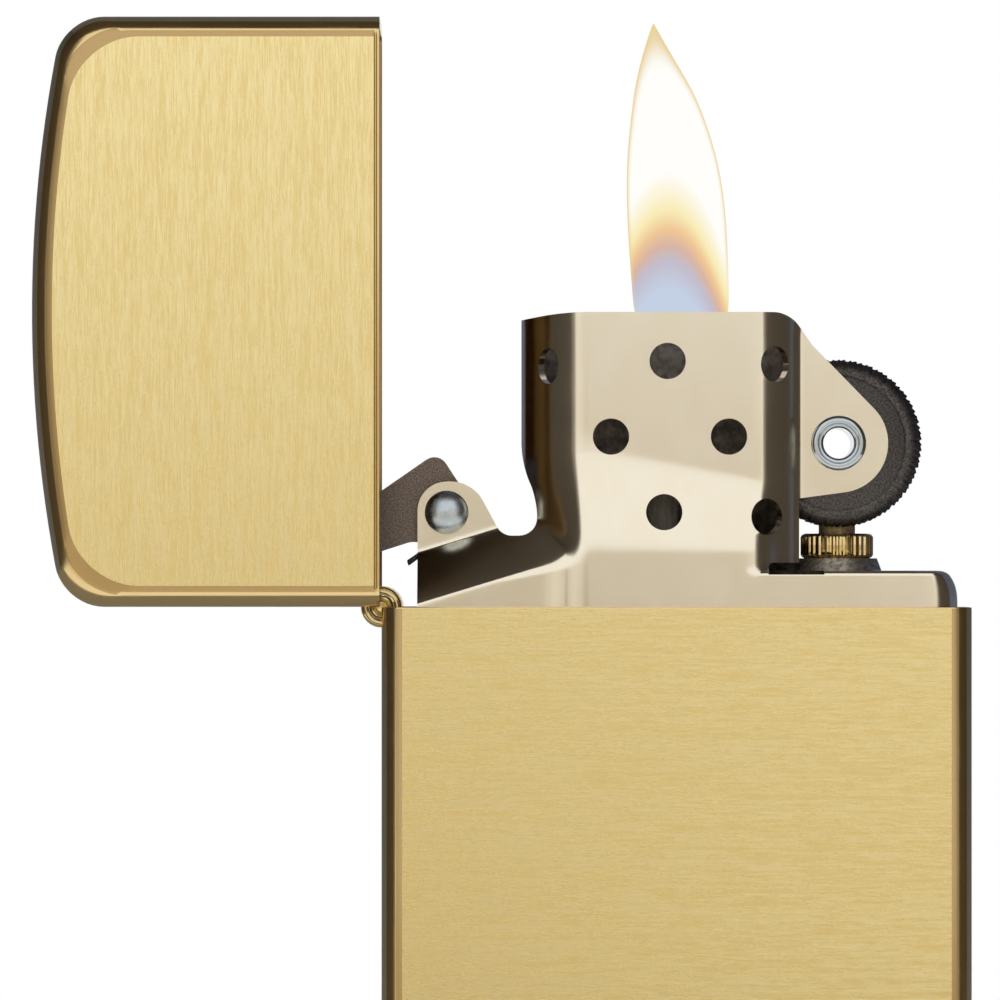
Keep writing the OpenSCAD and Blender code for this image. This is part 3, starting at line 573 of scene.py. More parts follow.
# Insert seen from the front: places across from the case's middle and heights over the rim, in millimetres
SKIRT_Y = -INSERT_LOW.y
WALL_Y = 4.9
EAR_Y = 3.2
CAM_EAR_Y = 2.7
LEFT_END = -10.0
LEFT_BEND = -6.1
RIGHT_BEND = 5.35
RIGHT_END = 7.95
RIGHT_CORNER = 3.3
CAP_LEFT = 5.2
CAP_CORNER = 1.8
CAP_LEAN = 0.75
CAP_ROUND = 0.3
# Cuts that keep the shading of the cap's flat faces apart from its roundings
CAP_HOLD_X = 0.4
CAP_HOLD_Z = 0.35
EAR_ROOT = 8.8
EAR_LOW = 7.12
EAR_TOP = 16.9
EAR_R = 3.2
EAR_BORE = 1.4
EAR_FILLET = 0.4
CAM_EAR_RUN = 1.1
CHIMNEY_TOP = INSERT_HIGH.z - RIM_Z + 0.1
SKIRT_FOOT = INSERT_LOW.z - RIM_Z
SKIRT_TOP = 2.34
# The press turns a corner in sooner than a circle would
CORNER_POWER = 1.5
CHEEK_LOW = 0.2
CHEEK_RISE = math.tan(math.radians(17))
CHEEK_FALL = 0.894
CHEEK_RIGHT = LEFT_END + 0.5
CHEEK_BLEND = (-8.3, -5.8)
# Fillet of the cheek's folds at its left, how much it grows to the right, and half the width of a fold's cuts
FOLD_CRISP = 0.1
FOLD_SOFT = 0.5
FOLD_CUT = 0.06
# The wall sweeps out to the skirt between these heights
FOOT_Z = 3.4
SWEEP_TOP = 9.5
SWEEP_LEAN = 0.2
# Where the sweep gives way to the ledge under the wheel, across and upwards
LEDGE_X = (4.7, 6.9)
LEDGE_Z = (2, 2.6)
# Faces of the flat sheet before it is pressed, and the height up to which its rows of cuts lie close
FLAT_NEAR = -2
FLAT_FAR = -1
ROWS_CLOSE = 10
# Outline of the front sheet: across, height, and how far its corner is rounded back
SHEET_OUTLINE = [
    (INSERT_LOW.x, SKIRT_FOOT, 0), (CAP_LEFT, SKIRT_FOOT, 0), (CAP_LEFT, SKIRT_TOP - 0.2, 0),
    (5.95, SKIRT_TOP - 0.2, 0), (5.95, 2.85, 0.25), (RIGHT_END, 2.85, 0), (RIGHT_END, 7.0, 0),
    (EAR_ROOT, EAR_LOW, 0), (EAR_ROOT, EAR_TOP, 0), (7.35, CHIMNEY_TOP, 1),
    (-7.2, CHIMNEY_TOP, 1.4), (LEFT_END + 0.02, CHIMNEY_TOP - 0.45, 0), (LEFT_END + 0.02, 9.3, 1.3),
    (-8.95, 7, 1.1), (-8.95, 4.6, 1.2), (-11.25, 4.6, 0.6), (-13.15, 8.1, 1.3), (INSERT_LOW.x, 8.1, 1.9),
]
# Relief slot between the chimney's foot and the skirt: left and right end, foot, and how deep it goes
SLOT_LEFT = 5.9
SLOT_RIGHT = 9.5
SLOT_FOOT = 2.08
SLOT_Y = 3.6
# Dark block behind the slot, a painted shadow where the slot lies in shade: place across, height over the
# skirt's top, and size
SLOT_SHADE_X = 6.6
SLOT_SHADE_OVER = 0.1
SLOT_SHADE_SIZE = (2.6, 2.4, 1.1)
# Plate that closes the chimney's left end: place across, foot, drop from the top, thickness and depth
PLATE_X = LEFT_END + 0.26
PLATE_LOW = 10.6
PLATE_DROP = 0.45
PLATE_T = 0.48
PLATE_W = 2.2
# Slots of the insert's sooted inside and of its bare cut steel, after its plating. The cut steel is dark
# partly as painted shade in the slot
SOOTED = 1
CUT_AND_SLOT_SHADE = 2
# Air holes: across, height and turn round the chimney's corner, in front and at the back
HOLE_MID = -0.8
HOLE_STEP = 7.6
HOLE_LOW = 6.1
HOLE_ROW = 4.87
FRONT_HOLES = [
    (0.03, 2, 0), (-0.45, 1, 0), (0.55, 1, 0), (0, 0, 0), (0.94, 1.96, 39), (0.87, -0.06, 31),
    (-0.98, 1.94, -56),
]
BACK_HOLES = [(-0.5, 2, 0), (0.5, 2, 0), (0, 1, 0), (-0.5, 0, 0), (0.5, 0, 0), (0.9, 1, 25), (-0.98, 1, -25)]
# Teeth of the spark wheel: count, depth in millimetres and turns of slant per millimetre of its width
WHEEL_TEETH = 92
TOOTH_DEPTH = 0.24
TOOTH_SLANT = 0.01
WHEEL_BORE = 1.45
# The flint's end is worn to the wheel, so it reaches this far up between its teeth
FLINT_END = 0.8
FLINT_RISE = 0.35
# Flutes of the flint tube's collar: count and depth
COLLAR_FLUTES = 34
FLUTE_DEPTH = 0.09
# Flame seen from the front: height over the rim, left and right edge
FLAME = [
    (17.2, -2.55, 3.5), (20.5, -2.8, 3.52), (22.93, -3.0, 3.44), (26.14, -3.18, 3.28), (29.35, -3.16, 2.74),
    (32.56, -2.78, 1.62), (33.85, -2.6, 0.95), (35.13, -2.3, 0.2), (36.42, -1.95, -0.58), (37.9, -1.44, -1.4),
]
# Colours up the flame's middle, by height in millimetres over its warm arch
FLAME_TONES = [
    (-3.4, "#c4d0e4"), (-1.6, "#c3bdcc"), (-0.6, "#d9b5a4"),
    (0.4, "#efc695"), (1.7, "#f9ecb6"), (4.2, "#fffefa"),
]
FLAME_MID = -0.49
ARCH_Z = 24.0
ARCH_FALL = 0.38
# Depth of the flame as a share of its width
FLAME_DEPTH = 0.55
# Amber rim of the flame: tone, half depths it fades between, heights it grows between, share at its foot
AMBER = "#ead49f"
AMBER_SIDE = (0.15, 0.75)
AMBER_RISE = (20, 24)
AMBER_FOOT = 0.3
# Papers of the studio
NEAR_PAPER = "#5f574d"
GREY_PAPER = "#a39d93"
FAR_PAPER = "#828aa3"
FLOOR_PAPER = "#f1efec"


def soft_max(first, second, fillet):
    """The larger of two values, with a fillet where they meet."""
    near = max(0.0, fillet - abs(first - second)) / fillet
    return max(first, second) + near * near * fillet / 4


def soft_min(first, second, fillet):
    """The smaller of two values, with a fillet where they meet."""
    return -soft_max(-first, -second, fillet)


def soft_step(value, low, high):
    """0 below low, 1 above high and a smooth rise between them."""
    share = min(1.0, max(0.0, (value - low) / (high - low)))
    return share * share * (3 - 2 * share)


def corner_drop(reach, radius):
    """How far a pressed corner has turned in, at a reach past its bend."""
    share = min(1.0, max(0.0, reach / radius))
    return radius * (1 - (1 - share ** CORNER_POWER) ** (1 / CORNER_POWER))


def chimney_plan(x):
    """Half depth of the chimney's wall, with the cam ear to its left and the wheel ear to its right."""
    if x < LEFT_BEND:
        wall = WALL_Y - corner_drop(LEFT_BEND - x, LEFT_BEND - LEFT_END)
        return wall + (CAM_EAR_Y - wall) * soft_step(LEFT_END - x, 0, CAM_EAR_RUN)
    if x > RIGHT_BEND:
        return soft_max(WALL_Y - corner_drop(x - RIGHT_BEND, RIGHT_CORNER), EAR_Y, EAR_FILLET)
    return WALL_Y


def sheet_depth(x, z):
    """Half depth of the insert's front sheet: skirt, sloping cheek, chimney and ears in one pressing."""
    plan = chimney_plan(x)
    bend = CHEEK_LOW + (x - INSERT_LOW.x) * CHEEK_RISE
    fold = FOLD_CRISP + FOLD_SOFT * soft_step(x, LEFT_END - 2, LEFT_BEND)
    cheek = soft_max(plan, soft_min(SKIRT_Y, SKIRT_Y - CHEEK_FALL * (z - bend), fold), fold)
    ledge = soft_step(x, *LEDGE_X) * soft_step(z, *LEDGE_Z)
    top = SWEEP_TOP - SWEEP_LEAN * (x - HOLE_MID)
    sweep = (SKIRT_Y - WALL_Y) * (1 - soft_step(z, FOOT_Z, top)) * (1 - ledge)
    return cheek + (plan + sweep - cheek) * soft_step(x, *CHEEK_BLEND)


def spread(low, high, count):
    """Evenly spaced values from low up to, but not including, high."""
    return [low + (high - low) * i / count for i in range(count)]


def pressed_side(holes):
    """One side of the insert: outline and air holes cut from flat sheet, which is then pressed into shape."""
    sheet = outline_prism(SHEET_OUTLINE, FLAT_NEAR, FLAT_FAR)
    bm = worked(sheet, "BOOLEAN", operation="DIFFERENCE", object=air_holes(holes))
    rest = [face for face in bm.faces if any(vert.co.y > FLAT_NEAR + NEAR for vert in face.verts)]
    bmesh.ops.delete(bm, geom=rest, context="FACES")
    bend = [LEFT_BEND - (LEFT_BEND - LEFT_END) * (1 - (i / 16) ** 2) for i in range(16)]
    columns = (spread(INSERT_LOW.x, LEFT_END, 30) + bend + spread(LEFT_BEND, RIGHT_BEND, 24)
               + spread(RIGHT_BEND, EAR_ROOT, 24))
    for x in columns:
        cut_mesh(bm, (x, 0, 0), (1, 0, 0))
    for z in spread(SKIRT_FOOT, ROWS_CLOSE, 60) + spread(ROWS_CLOSE, CHIMNEY_TOP, 6):
        cut_mesh(bm, (0, 0, RIM_Z + z), (0, 0, 1))
    ridge = (SKIRT_Y - CAM_EAR_Y) / CHEEK_FALL
    for fold in (-FOLD_CUT, 0, FOLD_CUT, ridge - FOLD_CUT, ridge, ridge + FOLD_CUT):
        cheek = [face for face in bm.faces if face.calc_center_median().x < CHEEK_RIGHT]
        cut_faces(bm, cheek, (INSERT_LOW.x, 0, RIM_Z + CHEEK_LOW + fold), (-CHEEK_RISE, 0, 1))
    for vert in bm.verts:
        vert.co.y = -sheet_depth(vert.co.x, vert.co.z - RIM_Z)
    bmesh.ops.recalc_face_normals(bm, faces=bm.faces)
    if sum(face.normal.y for face in bm.faces) > 0:
        bmesh.ops.reverse_faces(bm, faces=bm.faces)
    return worked(bm, "SOLIDIFY", thickness=size("sheet"), offset=-1, material_offset=SOOTED)


def outline_prism(outline, near, far):
    """A front-view outline with rounded corners, drawn out from near to far."""
    bm = bmesh.new()
    verts = [bm.verts.new((x, near, RIM_Z + z)) for x, z, _ in outline]
    bm.faces.new(verts)
    for vert, (_, _, rounding) in zip(verts, outline):
        if rounding:
            bmesh.ops.bevel(
                bm, geom=[vert], affect="VERTICES", offset=rounding, offset_type="OFFSET", segments=8,
                profile=0.5, material=-1)
    drawn = bmesh.ops.extrude_face_region(bm, geom=list(bm.faces))["geom"]
    moved = [item for item in drawn if isinstance(item, bmesh.types.BMVert)]
    bmesh.ops.translate(bm, vec=(0, far - near, 0), verts=moved)
    bmesh.ops.recalc_face_normals(bm, faces=bm.faces)
    return bm


def wheel_ear():
    """The flat ear that carries the wheel, rounded about the wheel's axis, with its bore."""
    bm = bmesh.new()
    made = []
    for y in (-EAR_Y, size("sheet") - EAR_Y):
        place = Matrix.Translation((WHEEL.x, y, WHEEL.z)) @ Matrix.Rotation(math.radians(90), 4, "X")
        made += bmesh.ops.create_circle(bm, segments=64, radius=EAR_R, matrix=place)["verts"]
        made += [bm.verts.new((EAR_ROOT, y, RIM_Z + z)) for z in (EAR_LOW, EAR_TOP)]
    hull = bmesh.ops.convex_hull(bm, input=made)
    bmesh.ops.delete(bm, geom=hull["geom_unused"] + hull["geom_interior"], context="VERTS")
    cut_mesh(bm, (EAR_ROOT, 0, 0), (1, 0, 0), clear_inner=True)
    bmesh.ops.holes_fill(bm, edges=[edge for edge in bm.edges if edge.is_boundary], sides=0)
    bore = bmesh.new()
    bmesh.ops.create_cone(
        bore, cap_ends=True, segments=48, radius1=EAR_BORE, radius2=EAR_BORE, depth=12,
        matrix=Matrix.Translation(WHEEL) @ Matrix.Rotation(math.radians(90), 4, "X"))
    return worked(bm, "BOOLEAN", operation="DIFFERENCE", object=bore)


def skirt_cap():
    """Closed right end of the skirt, rounded in towards its top, with the relief slots at its left."""
    middle = ((CAP_LEFT + INSERT_HIGH.x) / 2, 0, RIM_Z + (SKIRT_FOOT + SKIRT_TOP) / 2)
    bm = block(middle, (INSERT_HIGH.x - CAP_LEFT, 2 * SKIRT_Y, SKIRT_TOP - SKIRT_FOOT))
    upright = [e for e in bm.edges if all(v.co.x > INSERT_HIGH.x - NEAR for v in e.verts)
               and abs(e.verts[0].co.z - e.verts[1].co.z) > 1]
    bmesh.ops.bevel(bm, geom=upright, affect="EDGES", offset=CAP_CORNER, segments=8, profile=0.5, material=-1)
    for height in spread(0, SKIRT_TOP, 8):
        cut_mesh(bm, (0, 0, RIM_Z + height), (0, 0, 1))
    bend = INSERT_HIGH.x - CAP_CORNER
    for vert in bm.verts:
        rise = max(0, vert.co.z - RIM_Z) / SKIRT_TOP
        vert.co.x -= CAP_LEAN * rise ** 3 * max(0, vert.co.x - bend) / CAP_CORNER
    top = RIM_Z + SKIRT_TOP - NEAR
    rim = [e for e in bm.edges if all(v.co.z > top for v in e.verts)
           and not all(v.co.x < CAP_LEFT + 0.1 for v in e.verts)]
    bmesh.ops.bevel(bm, geom=rim, affect="EDGES", offset=CAP_ROUND, segments=5, profile=0.5, material=-1)
    for x in (bend - CAP_HOLD_X, SLOT_LEFT, SLOT_RIGHT):
        cut_mesh(bm, (x, 0, 0), (1, 0, 0))
    for y in (SLOT_Y, -SLOT_Y):
        cut_mesh(bm, (0, y, 0), (0, 1, 0))
    for z in (RIM_Z + SLOT_FOOT, top - CAP_HOLD_Z):
        cut_mesh(bm, (0, 0, z), (0, 0, 1))
    hidden = [f for f in bm.faces if f.normal.z < -0.9 or f.normal.x < -0.9]
    for face in bm.faces:
        middle = face.calc_center_median()
        if SLOT_LEFT < middle.x < SLOT_RIGHT and middle.z > RIM_Z + SLOT_FOOT and abs(middle.y) > SLOT_Y:
            hidden.append(face)
    bmesh.ops.delete(bm, geom=hidden, context="FACES")
    bmesh.ops.recalc_face_normals(bm, faces=bm.faces)
    bmesh.ops.remove_doubles(bm, verts=bm.verts, dist=NEAR)
    # The cap's cut edges round the slots take the dark cut steel: bare steel, and painted shade in the slot
    return worked(
        bm, "SOLIDIFY", thickness=size("sheet"), offset=-1, material_offset=SOOTED, material_offset_rim=CUT_AND_SLOT_SHADE)


def air_holes(holes):
    """Cutters for the flat sheet's air holes. A hole in a corner is narrower, as its turn makes it seen."""
    bm = bmesh.new()
    for column, row, turn in holes:
        x, z = HOLE_MID + column * HOLE_STEP, RIM_Z + HOLE_LOW + row * HOLE_ROW
        place = Matrix.Translation((x, (FLAT_NEAR + FLAT_FAR) / 2, z))
        narrow = Matrix.Diagonal((math.cos(math.radians(turn)), 1, 1, 1))
        bmesh.ops.create_cone(
            bm, cap_ends=True, segments=40, radius1=size("hole_r"), radius2=size("hole_r"), depth=3,
            matrix=place @ narrow @ Matrix.Rotation(math.radians(90), 4, "X"))
    return bm


def joined(*parts):
    """Several meshes as one."""
    bm = bmesh.new()
    for part in parts:
        mesh = bpy.data.meshes.new("work")
        part.to_mesh(mesh)
        part.free()
        bm.from_mesh(mesh)
        bpy.data.meshes.remove(mesh)
    return bm


def wick_route():
    """The wick's line: down through the deck, then from side to side between the wads, as in the frame."""
    radius = size("wick_r")
    top = max((vert.co / MM for vert in NODES["wick"].data.vertices), key=lambda place: place.z).z
    across = [vert.co.x / MM for vert in NODES["wick"].data.vertices if vert.co.z / MM > top - NEAR]
    x = (min(across) + max(across)) / 2
    last = WICK_LOW.z + radius
    turn = (DECK_LOW.z - 0.6 - last) / 7
    left, right = WICK_LOW.x + radius + turn, WICK_HIGH.x - radius - turn
    run = last + 6 * turn

    def bend(centre_x, centre_z, start, finish):
        return [Vector((centre_x + turn * math.cos(math.radians(start + (finish - start) * i / 12)), 0,
                        centre_z + turn * math.sin(math.radians(start + (finish - start) * i / 12))))
                for i in range(13)]

    return ([Vector((x, 0, top)), Vector((x, 0, (top + run + turn) / 2))] + bend(x - turn, run + turn, 0, -90)
            + bend(left, run - turn, 90, 270) + bend(right, run - 3 * turn, 90, -90)
            + bend(left, run - 5 * turn, 90, 270) + [Vector((right, 0, run - 6 * turn))])


class LIGHTER_OT_case(Operator):
    """Draws the brushed lower case"""
    bl_idname = "lighter.case"
    bl_label = "Lower case"

    def execute(self, context):
        extent = CASE_HIGH - CASE_LOW
        bm = drawn_shell(extent.x, extent.y, extent.z, size("notch"))
        turned(bm, (0, 0, 0), 180, "X")
        bmesh.ops.translate(bm, vec=(0, 0, RIM_Z), verts=bm.verts)
        put_piece(bm, "brushed_case", "case_body", shell_brass("case", "X"), ("case_shell",))
        return {"FINISHED"}


class LIGHTER_OT_lid(Operator):
    """Draws the brushed lid with its arched end, open"""
    bl_idname = "lighter.lid"
    bl_label = "Lid"

    def execute(self, context):
        extent = LID_HIGH - LID_LOW
        gap = HINGE.x - LID_HIGH.x
        bm = drawn_shell(extent.z, extent.y, extent.x, size("notch") - gap, size("arch"), size("lip"))
        bmesh.ops.translate(bm, vec=(0, 0, RIM_Z + gap), verts=bm.verts)
        turned(bm, HINGE, -90)
        put_piece(bm, "brushed_lid", "lid_body", shell_brass("lid", "Z"), ("lid_shell",))
        return {"FINISHED"}


class LIGHTER_OT_hinge(Operator):
    """Finishes the hinge's leaves and pin"""
    bl_idname = "lighter.hinge"
    bl_label = "Hinge"

    def execute(self, context):
        brass = polished_brass("rolled_hinge_brass")
        for node in ("case_hinge_leaf", "lid_hinge_leaf"):
            cad_piece(node, brass)
        half, radius = turned_size("hinge_pin")
        # Radii and depths of the pin's end, as shares of its radius
        dimple = [(0, 0.6), (0.45, 0.5), (0.65, 0.1), (0.78, 0), (0.92, 0.06), (1, 0.25)]
        bm = lathe(both_ends([(share * radius, sunk * radius) for share, sunk in dimple], half), HINGE, 32)
        shade(bm, 40)
        put_piece(bm, "dimpled_pin", "case_body", [
            grainy_metal("drawn_pin_brass", paint("edge_brass"), 0.5, 0.01, 0.25)], ("hinge_pin",))
        # Rolled rims of the outer knuckles, a little proud of the leaf: radii, and depths from the pin's end
        rim = [
            (0.8, 0.4), (0.8, -0.05), (0.9, -0.1), (1, -0.04), (1.06, -0.04), (1.14, -0.1), (1.26, -0.06),
            (1.33, 0.1), (1.33, 0.5), (0.8, 0.4)]
        sides = [[(reach, side * (sunk - half)) for reach, sunk in rim] for side in (1, -1)]
        bm = joined(*[lathe(profile, HINGE, 40) for profile in sides])
        shade(bm, 50)
        put_piece(bm, "rolled_knuckle_rims", "case_body", [brass])
        return {"FINISHED"}


class LIGHTER_OT_insert(Operator):
    """Presses the insert: skirt, perforated chimney and ears"""
    bl_idname = "lighter.insert"
    bl_label = "Insert"

    def execute(self, context):
        front = joined(pressed_side(FRONT_HOLES), wheel_ear())
        back = joined(pressed_side(BACK_HOLES), wheel_ear())
        bmesh.ops.scale(back, vec=(1, -1, 1), verts=back.verts)
        bmesh.ops.reverse_faces(back, faces=back.faces)
        low, high = RIM_Z + PLATE_LOW, RIM_Z + CHIMNEY_TOP - PLATE_DROP
        plate = block((PLATE_X, 0, (low + high) / 2), (PLATE_T, PLATE_W, high - low))
        # A dark block behind the slot: painted shadow where the slot lies in shade
        relief = block((SLOT_SHADE_X, 0, RIM_Z + SKIRT_TOP + SLOT_SHADE_OVER), SLOT_SHADE_SIZE)
        for face in relief.faces:
            face.material_index = CUT_AND_SLOT_SHADE
        bm = joined(front, back, plate, relief, skirt_cap())
        shade(bm, 35)
        plating = champagne_steel("champagne_steel")
        soot = grainy_metal("sooted_steel", paint("soot"), 0.8, 0.01, 0.55)
        # Dark steel of the cut edges and of the block behind the slot: painted shade of the slot, partly bare
        # steel
        bare = grainy_metal("bare_cut_steel", paint("cut_steel"), 0.4, 0.004, 0.6)
        put_piece(bm, "pressed_insert", "case_body", [plating, soot, bare], ("chimney",))
        for node in ("fuel_tank", "deck_plate"):
            dress(node, plating)
        return {"FINISHED"}


def knurled_wheel():
    """Spark wheel: a turned blank whose rim is cut with shallow slanting teeth, some deeper than others."""
    low, high = corners("spark_wheel")
    radius, half = (high.z - low.z) / 2, (high.y - low.y) / 2
    # Radii and depths of the turned blank's side
    side = [(WHEEL_BORE, 0), (radius - 1.2, 0), (radius - 1.1, 0.06), (radius - 1, 0.02), (radius - 0.6, 0.1),
            (radius - 0.25, 0.28), (radius, 0.6), (radius, half)]
    bm = lathe(both_ends(side, half) + [(WHEEL_BORE, -half)], (0, 0, 0), 4 * WHEEL_TEETH)
    for vert in bm.verts:
        reach = math.hypot(vert.co.x, vert.co.z)
        tooth = (math.atan2(vert.co.z, vert.co.x) / math.tau + vert.co.y * TOOTH_SLANT) * WHEEL_TEETH
        cut = TOOTH_DEPTH * (tooth % 1) * (0.7 + 0.3 * math.sin(2.4 * math.floor(tooth)))
        cut *= soft_step(reach, radius - 0.8, radius - 0.2)
        vert.co.x -= vert.co.x / reach * cut
        vert.co.z -= vert.co.z / reach * cut
    bmesh.ops.translate(bm, vec=WHEEL, verts=bm.verts)
    return bm


class LIGHTER_OT_spark_wheel(Operator):
    """Finishes the knurled wheel and its hollow rivet"""
    bl_idname = "lighter.spark_wheel"
    bl_label = "Spark wheel"

    def execute(self, context):
        bm = knurled_wheel()
        shade(bm, 40)
        put_piece(bm, "knurled_wheel", "wheel_body", [
            grainy_metal("blackened_steel", paint("black"), 0.12, 0.008, 0.5)], ("spark_wheel",))
        half, flange = turned_size("wheel_rivet")
        bore, shank = 1.0, 1.36
        # Radii and depths of the rolled end
        roll = [
            (bore, 0.9), (bore, 0.16), (bore + 0.05, 0.06), (bore + 0.14, 0.01), (bore + 0.24, 0),
            (bore + 0.29, 0.05), (bore + 0.35, 0), (bore + 0.5, 0), (flange - 0.1, 0.05),
            (flange - 0.02, 0.14), (flange, 0.3), (shank, 0.55)]
        bm = lathe(both_ends(roll, half) + [(bore, 0.9 - half)], WHEEL, 64)
        shade(bm, 50)
        zinc = plated_steel("plated_eyelet_steel", 0.15)
        put_piece(bm, "rolled_eyelet", "case_body", [zinc], ("wheel_rivet",))
        return {"FINISHED"}


def fluted_collar():
    """Collar of the flint tube: a turned ring whose rim is cut with shallow upright flutes."""
    low, high = corners("flint_collar")
    radius, half = (high.x - low.x) / 2, (high.z - low.z) / 2
    bore = 0.55 * radius
    # Radii and depths of the ring's end
    side = [(bore, 0), (radius - 0.25, 0), (radius - 0.08, 0.1), (radius, 0.24), (radius, half)]
    bm = lathe(both_ends(side, half) + [(bore, -half)], (0, 0, 0), 4 * COLLAR_FLUTES)
    for vert in bm.verts:
        reach = math.hypot(vert.co.x, vert.co.z)
        flute = math.atan2(vert.co.z, vert.co.x) / math.tau * COLLAR_FLUTES
        if reach > radius - 0.15 and (flute + 0.1) % 1 < 0.4:
            vert.co.x *= 1 - FLUTE_DEPTH / reach
            vert.co.z *= 1 - FLUTE_DEPTH / reach
    turned(bm, (0, 0, 0), 90, "X")
    bmesh.ops.translate(bm, vec=(low + high) / 2, verts=bm.verts)
    return bm


class LIGHTER_OT_flint(Operator):
    """Finishes the flint tube, collar, washer and flint"""
    bl_idname = "lighter.flint"
    bl_label = "Flint parts"

    def execute(self, context):
        brass = polished_brass("turned_brass")
        for node in ("flint_tube", "flint_spring_tip", "flint_screw"):
            cad_piece(node, brass)
        bm = fluted_collar()
        shade(bm, 30)
        put_piece(bm, "fluted_collar", "case_body", [brass], ("flint_collar",))
        dark = grainy_metal("dark_washer_steel", paint("washer"), 0.3, 0.004, 0.5)
        cad_piece("collar_washer", dark)
        alloy = grainy_metal("flint_alloy", paint("flint"), 0.2, 0.02, 0.6, 0.6)
        rod = cad_piece("flint", alloy)
        top = max(vert.co.z for vert in rod.data.vertices)
        for vert in rod.data.vertices:
            if vert.co.z > top - FLINT_END * MM:
                vert.co.z += FLINT_RISE * MM
        wire = grainy_metal("spring_wire", paint("spring"), 0.2, 0.002, 0.3)
        cad_piece("flint_spring", wire, 60)
        return {"FINISHED"}


class LIGHTER_OT_cam(Operator):
    """Finishes the sintered cam, its rivets and its leaf spring"""
    bl_idname = "lighter.cam"
    bl_label = "Cam"

    def execute(self, context):
        sintered = grainy_metal("sintered_steel", paint("sintered"), 0.1, 0.014, 0.5)
        cad_piece("cam", sintered)
        zinc = plated_steel("plated_rivet_steel", 0.3)
        half, radius = turned_size("cam_rivet")
        # Shares of the radius, and depths in millimetres
        dome = [
            (0, 0), (0.2, 0.015), (0.4, 0.06), (0.58, 0.14), (0.74, 0.25), (0.87, 0.37), (0.96, 0.5),
            (1, 0.62), (0.98, 0.66), (0.68, 0.66)]
        bm = lathe(both_ends([(share * radius, sunk) for share, sunk in dome], half), CAM, 40)
        shade(bm, 50)
        put_piece(bm, "domed_cam_rivet", "case_body", [zinc], ("cam_rivet",))
        cad_piece("spring_rivet", zinc)
        blued = grainy_metal("blued_spring_steel", paint("spring"), 0.4, 0.002, 0.3)
        cad_piece("cam_spring", blued, 50, 0.12)
        return {"FINISHED"}


class LIGHTER_OT_filling(Operator):
    """Lays the wick between the cotton wads and the felt pad"""
    bl_idname = "lighter.filling"
    bl_label = "Wick and filling"

    def execute(self, context):
        line = bpy.data.curves.new("wick_line", "CURVE")
        line.dimensions = "3D"
        spline = line.splines.new("POLY")
        route = wick_route()
        spline.points.add(len(route) - 1)
        for point, place in zip(spline.points, route):
            point.co = (*place, 1)
        line.bevel_depth = size("wick_r")
        line.bevel_resolution = 6
        line.use_fill_caps = True
        item = bpy.data.objects.new("wick_line", line)
        context.scene.collection.objects.link(item)
        bm = bmesh.new()
        bm.from_mesh(item.evaluated_get(context.evaluated_depsgraph_get()).to_mesh())
        bpy.data.objects.remove(item)
        bmesh.ops.remove_doubles(bm, verts=bm.verts, dist=TOUCH)
        shade(bm, 60)
        braid = fibrous("braided_cotton", paint("cotton"), 0.35)
        put_piece(bm, "braided_wick", "case_body", [braid], ("wick",))
        wool = fibrous("cotton_wool", paint("cotton"), 0.2)
        for number in range(1, 5):
            dress(f"packing_wad_{number}", wool)
        dress("felt_pad", fibrous("pressed_felt", paint("felt"), 0.3))
        return {"FINISHED"}


class LIGHTER_OT_flame(Operator):
    """Draws the flame over the wick"""
    bl_idname = "lighter.flame"
    bl_label = "Flame"

    def execute(self, context):
        bm = bmesh.new()
        loops = []
        for height, left, right in FLAME:
            half = (right - left) / 2
            place = Matrix.Translation((left + half, 0, RIM_Z + height))
            place = place @ Matrix.Diagonal((1, FLAME_DEPTH, 1, 1))
            ring = bmesh.ops.create_circle(bm, segments=32, radius=half, matrix=place)["verts"]
            loops.append(list(dict.fromkeys(edge for vert in ring for edge in vert.link_edges)))
        for first, second in zip(loops, loops[1:]):
            bmesh.ops.bridge_loops(bm, edges=first + second)
        bmesh.ops.holes_fill(bm, edges=loops[0] + loops[-1], sides=0)
        bmesh.ops.recalc_face_normals(bm, faces=bm.faces)
        bm = worked(bm, "SUBSURF", levels=2, render_levels=2)
        shade(bm, 180)
        flame = put_piece(bm, "flame", "case_body", [burning_gas()])
        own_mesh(flame)
        return {"FINISHED"}


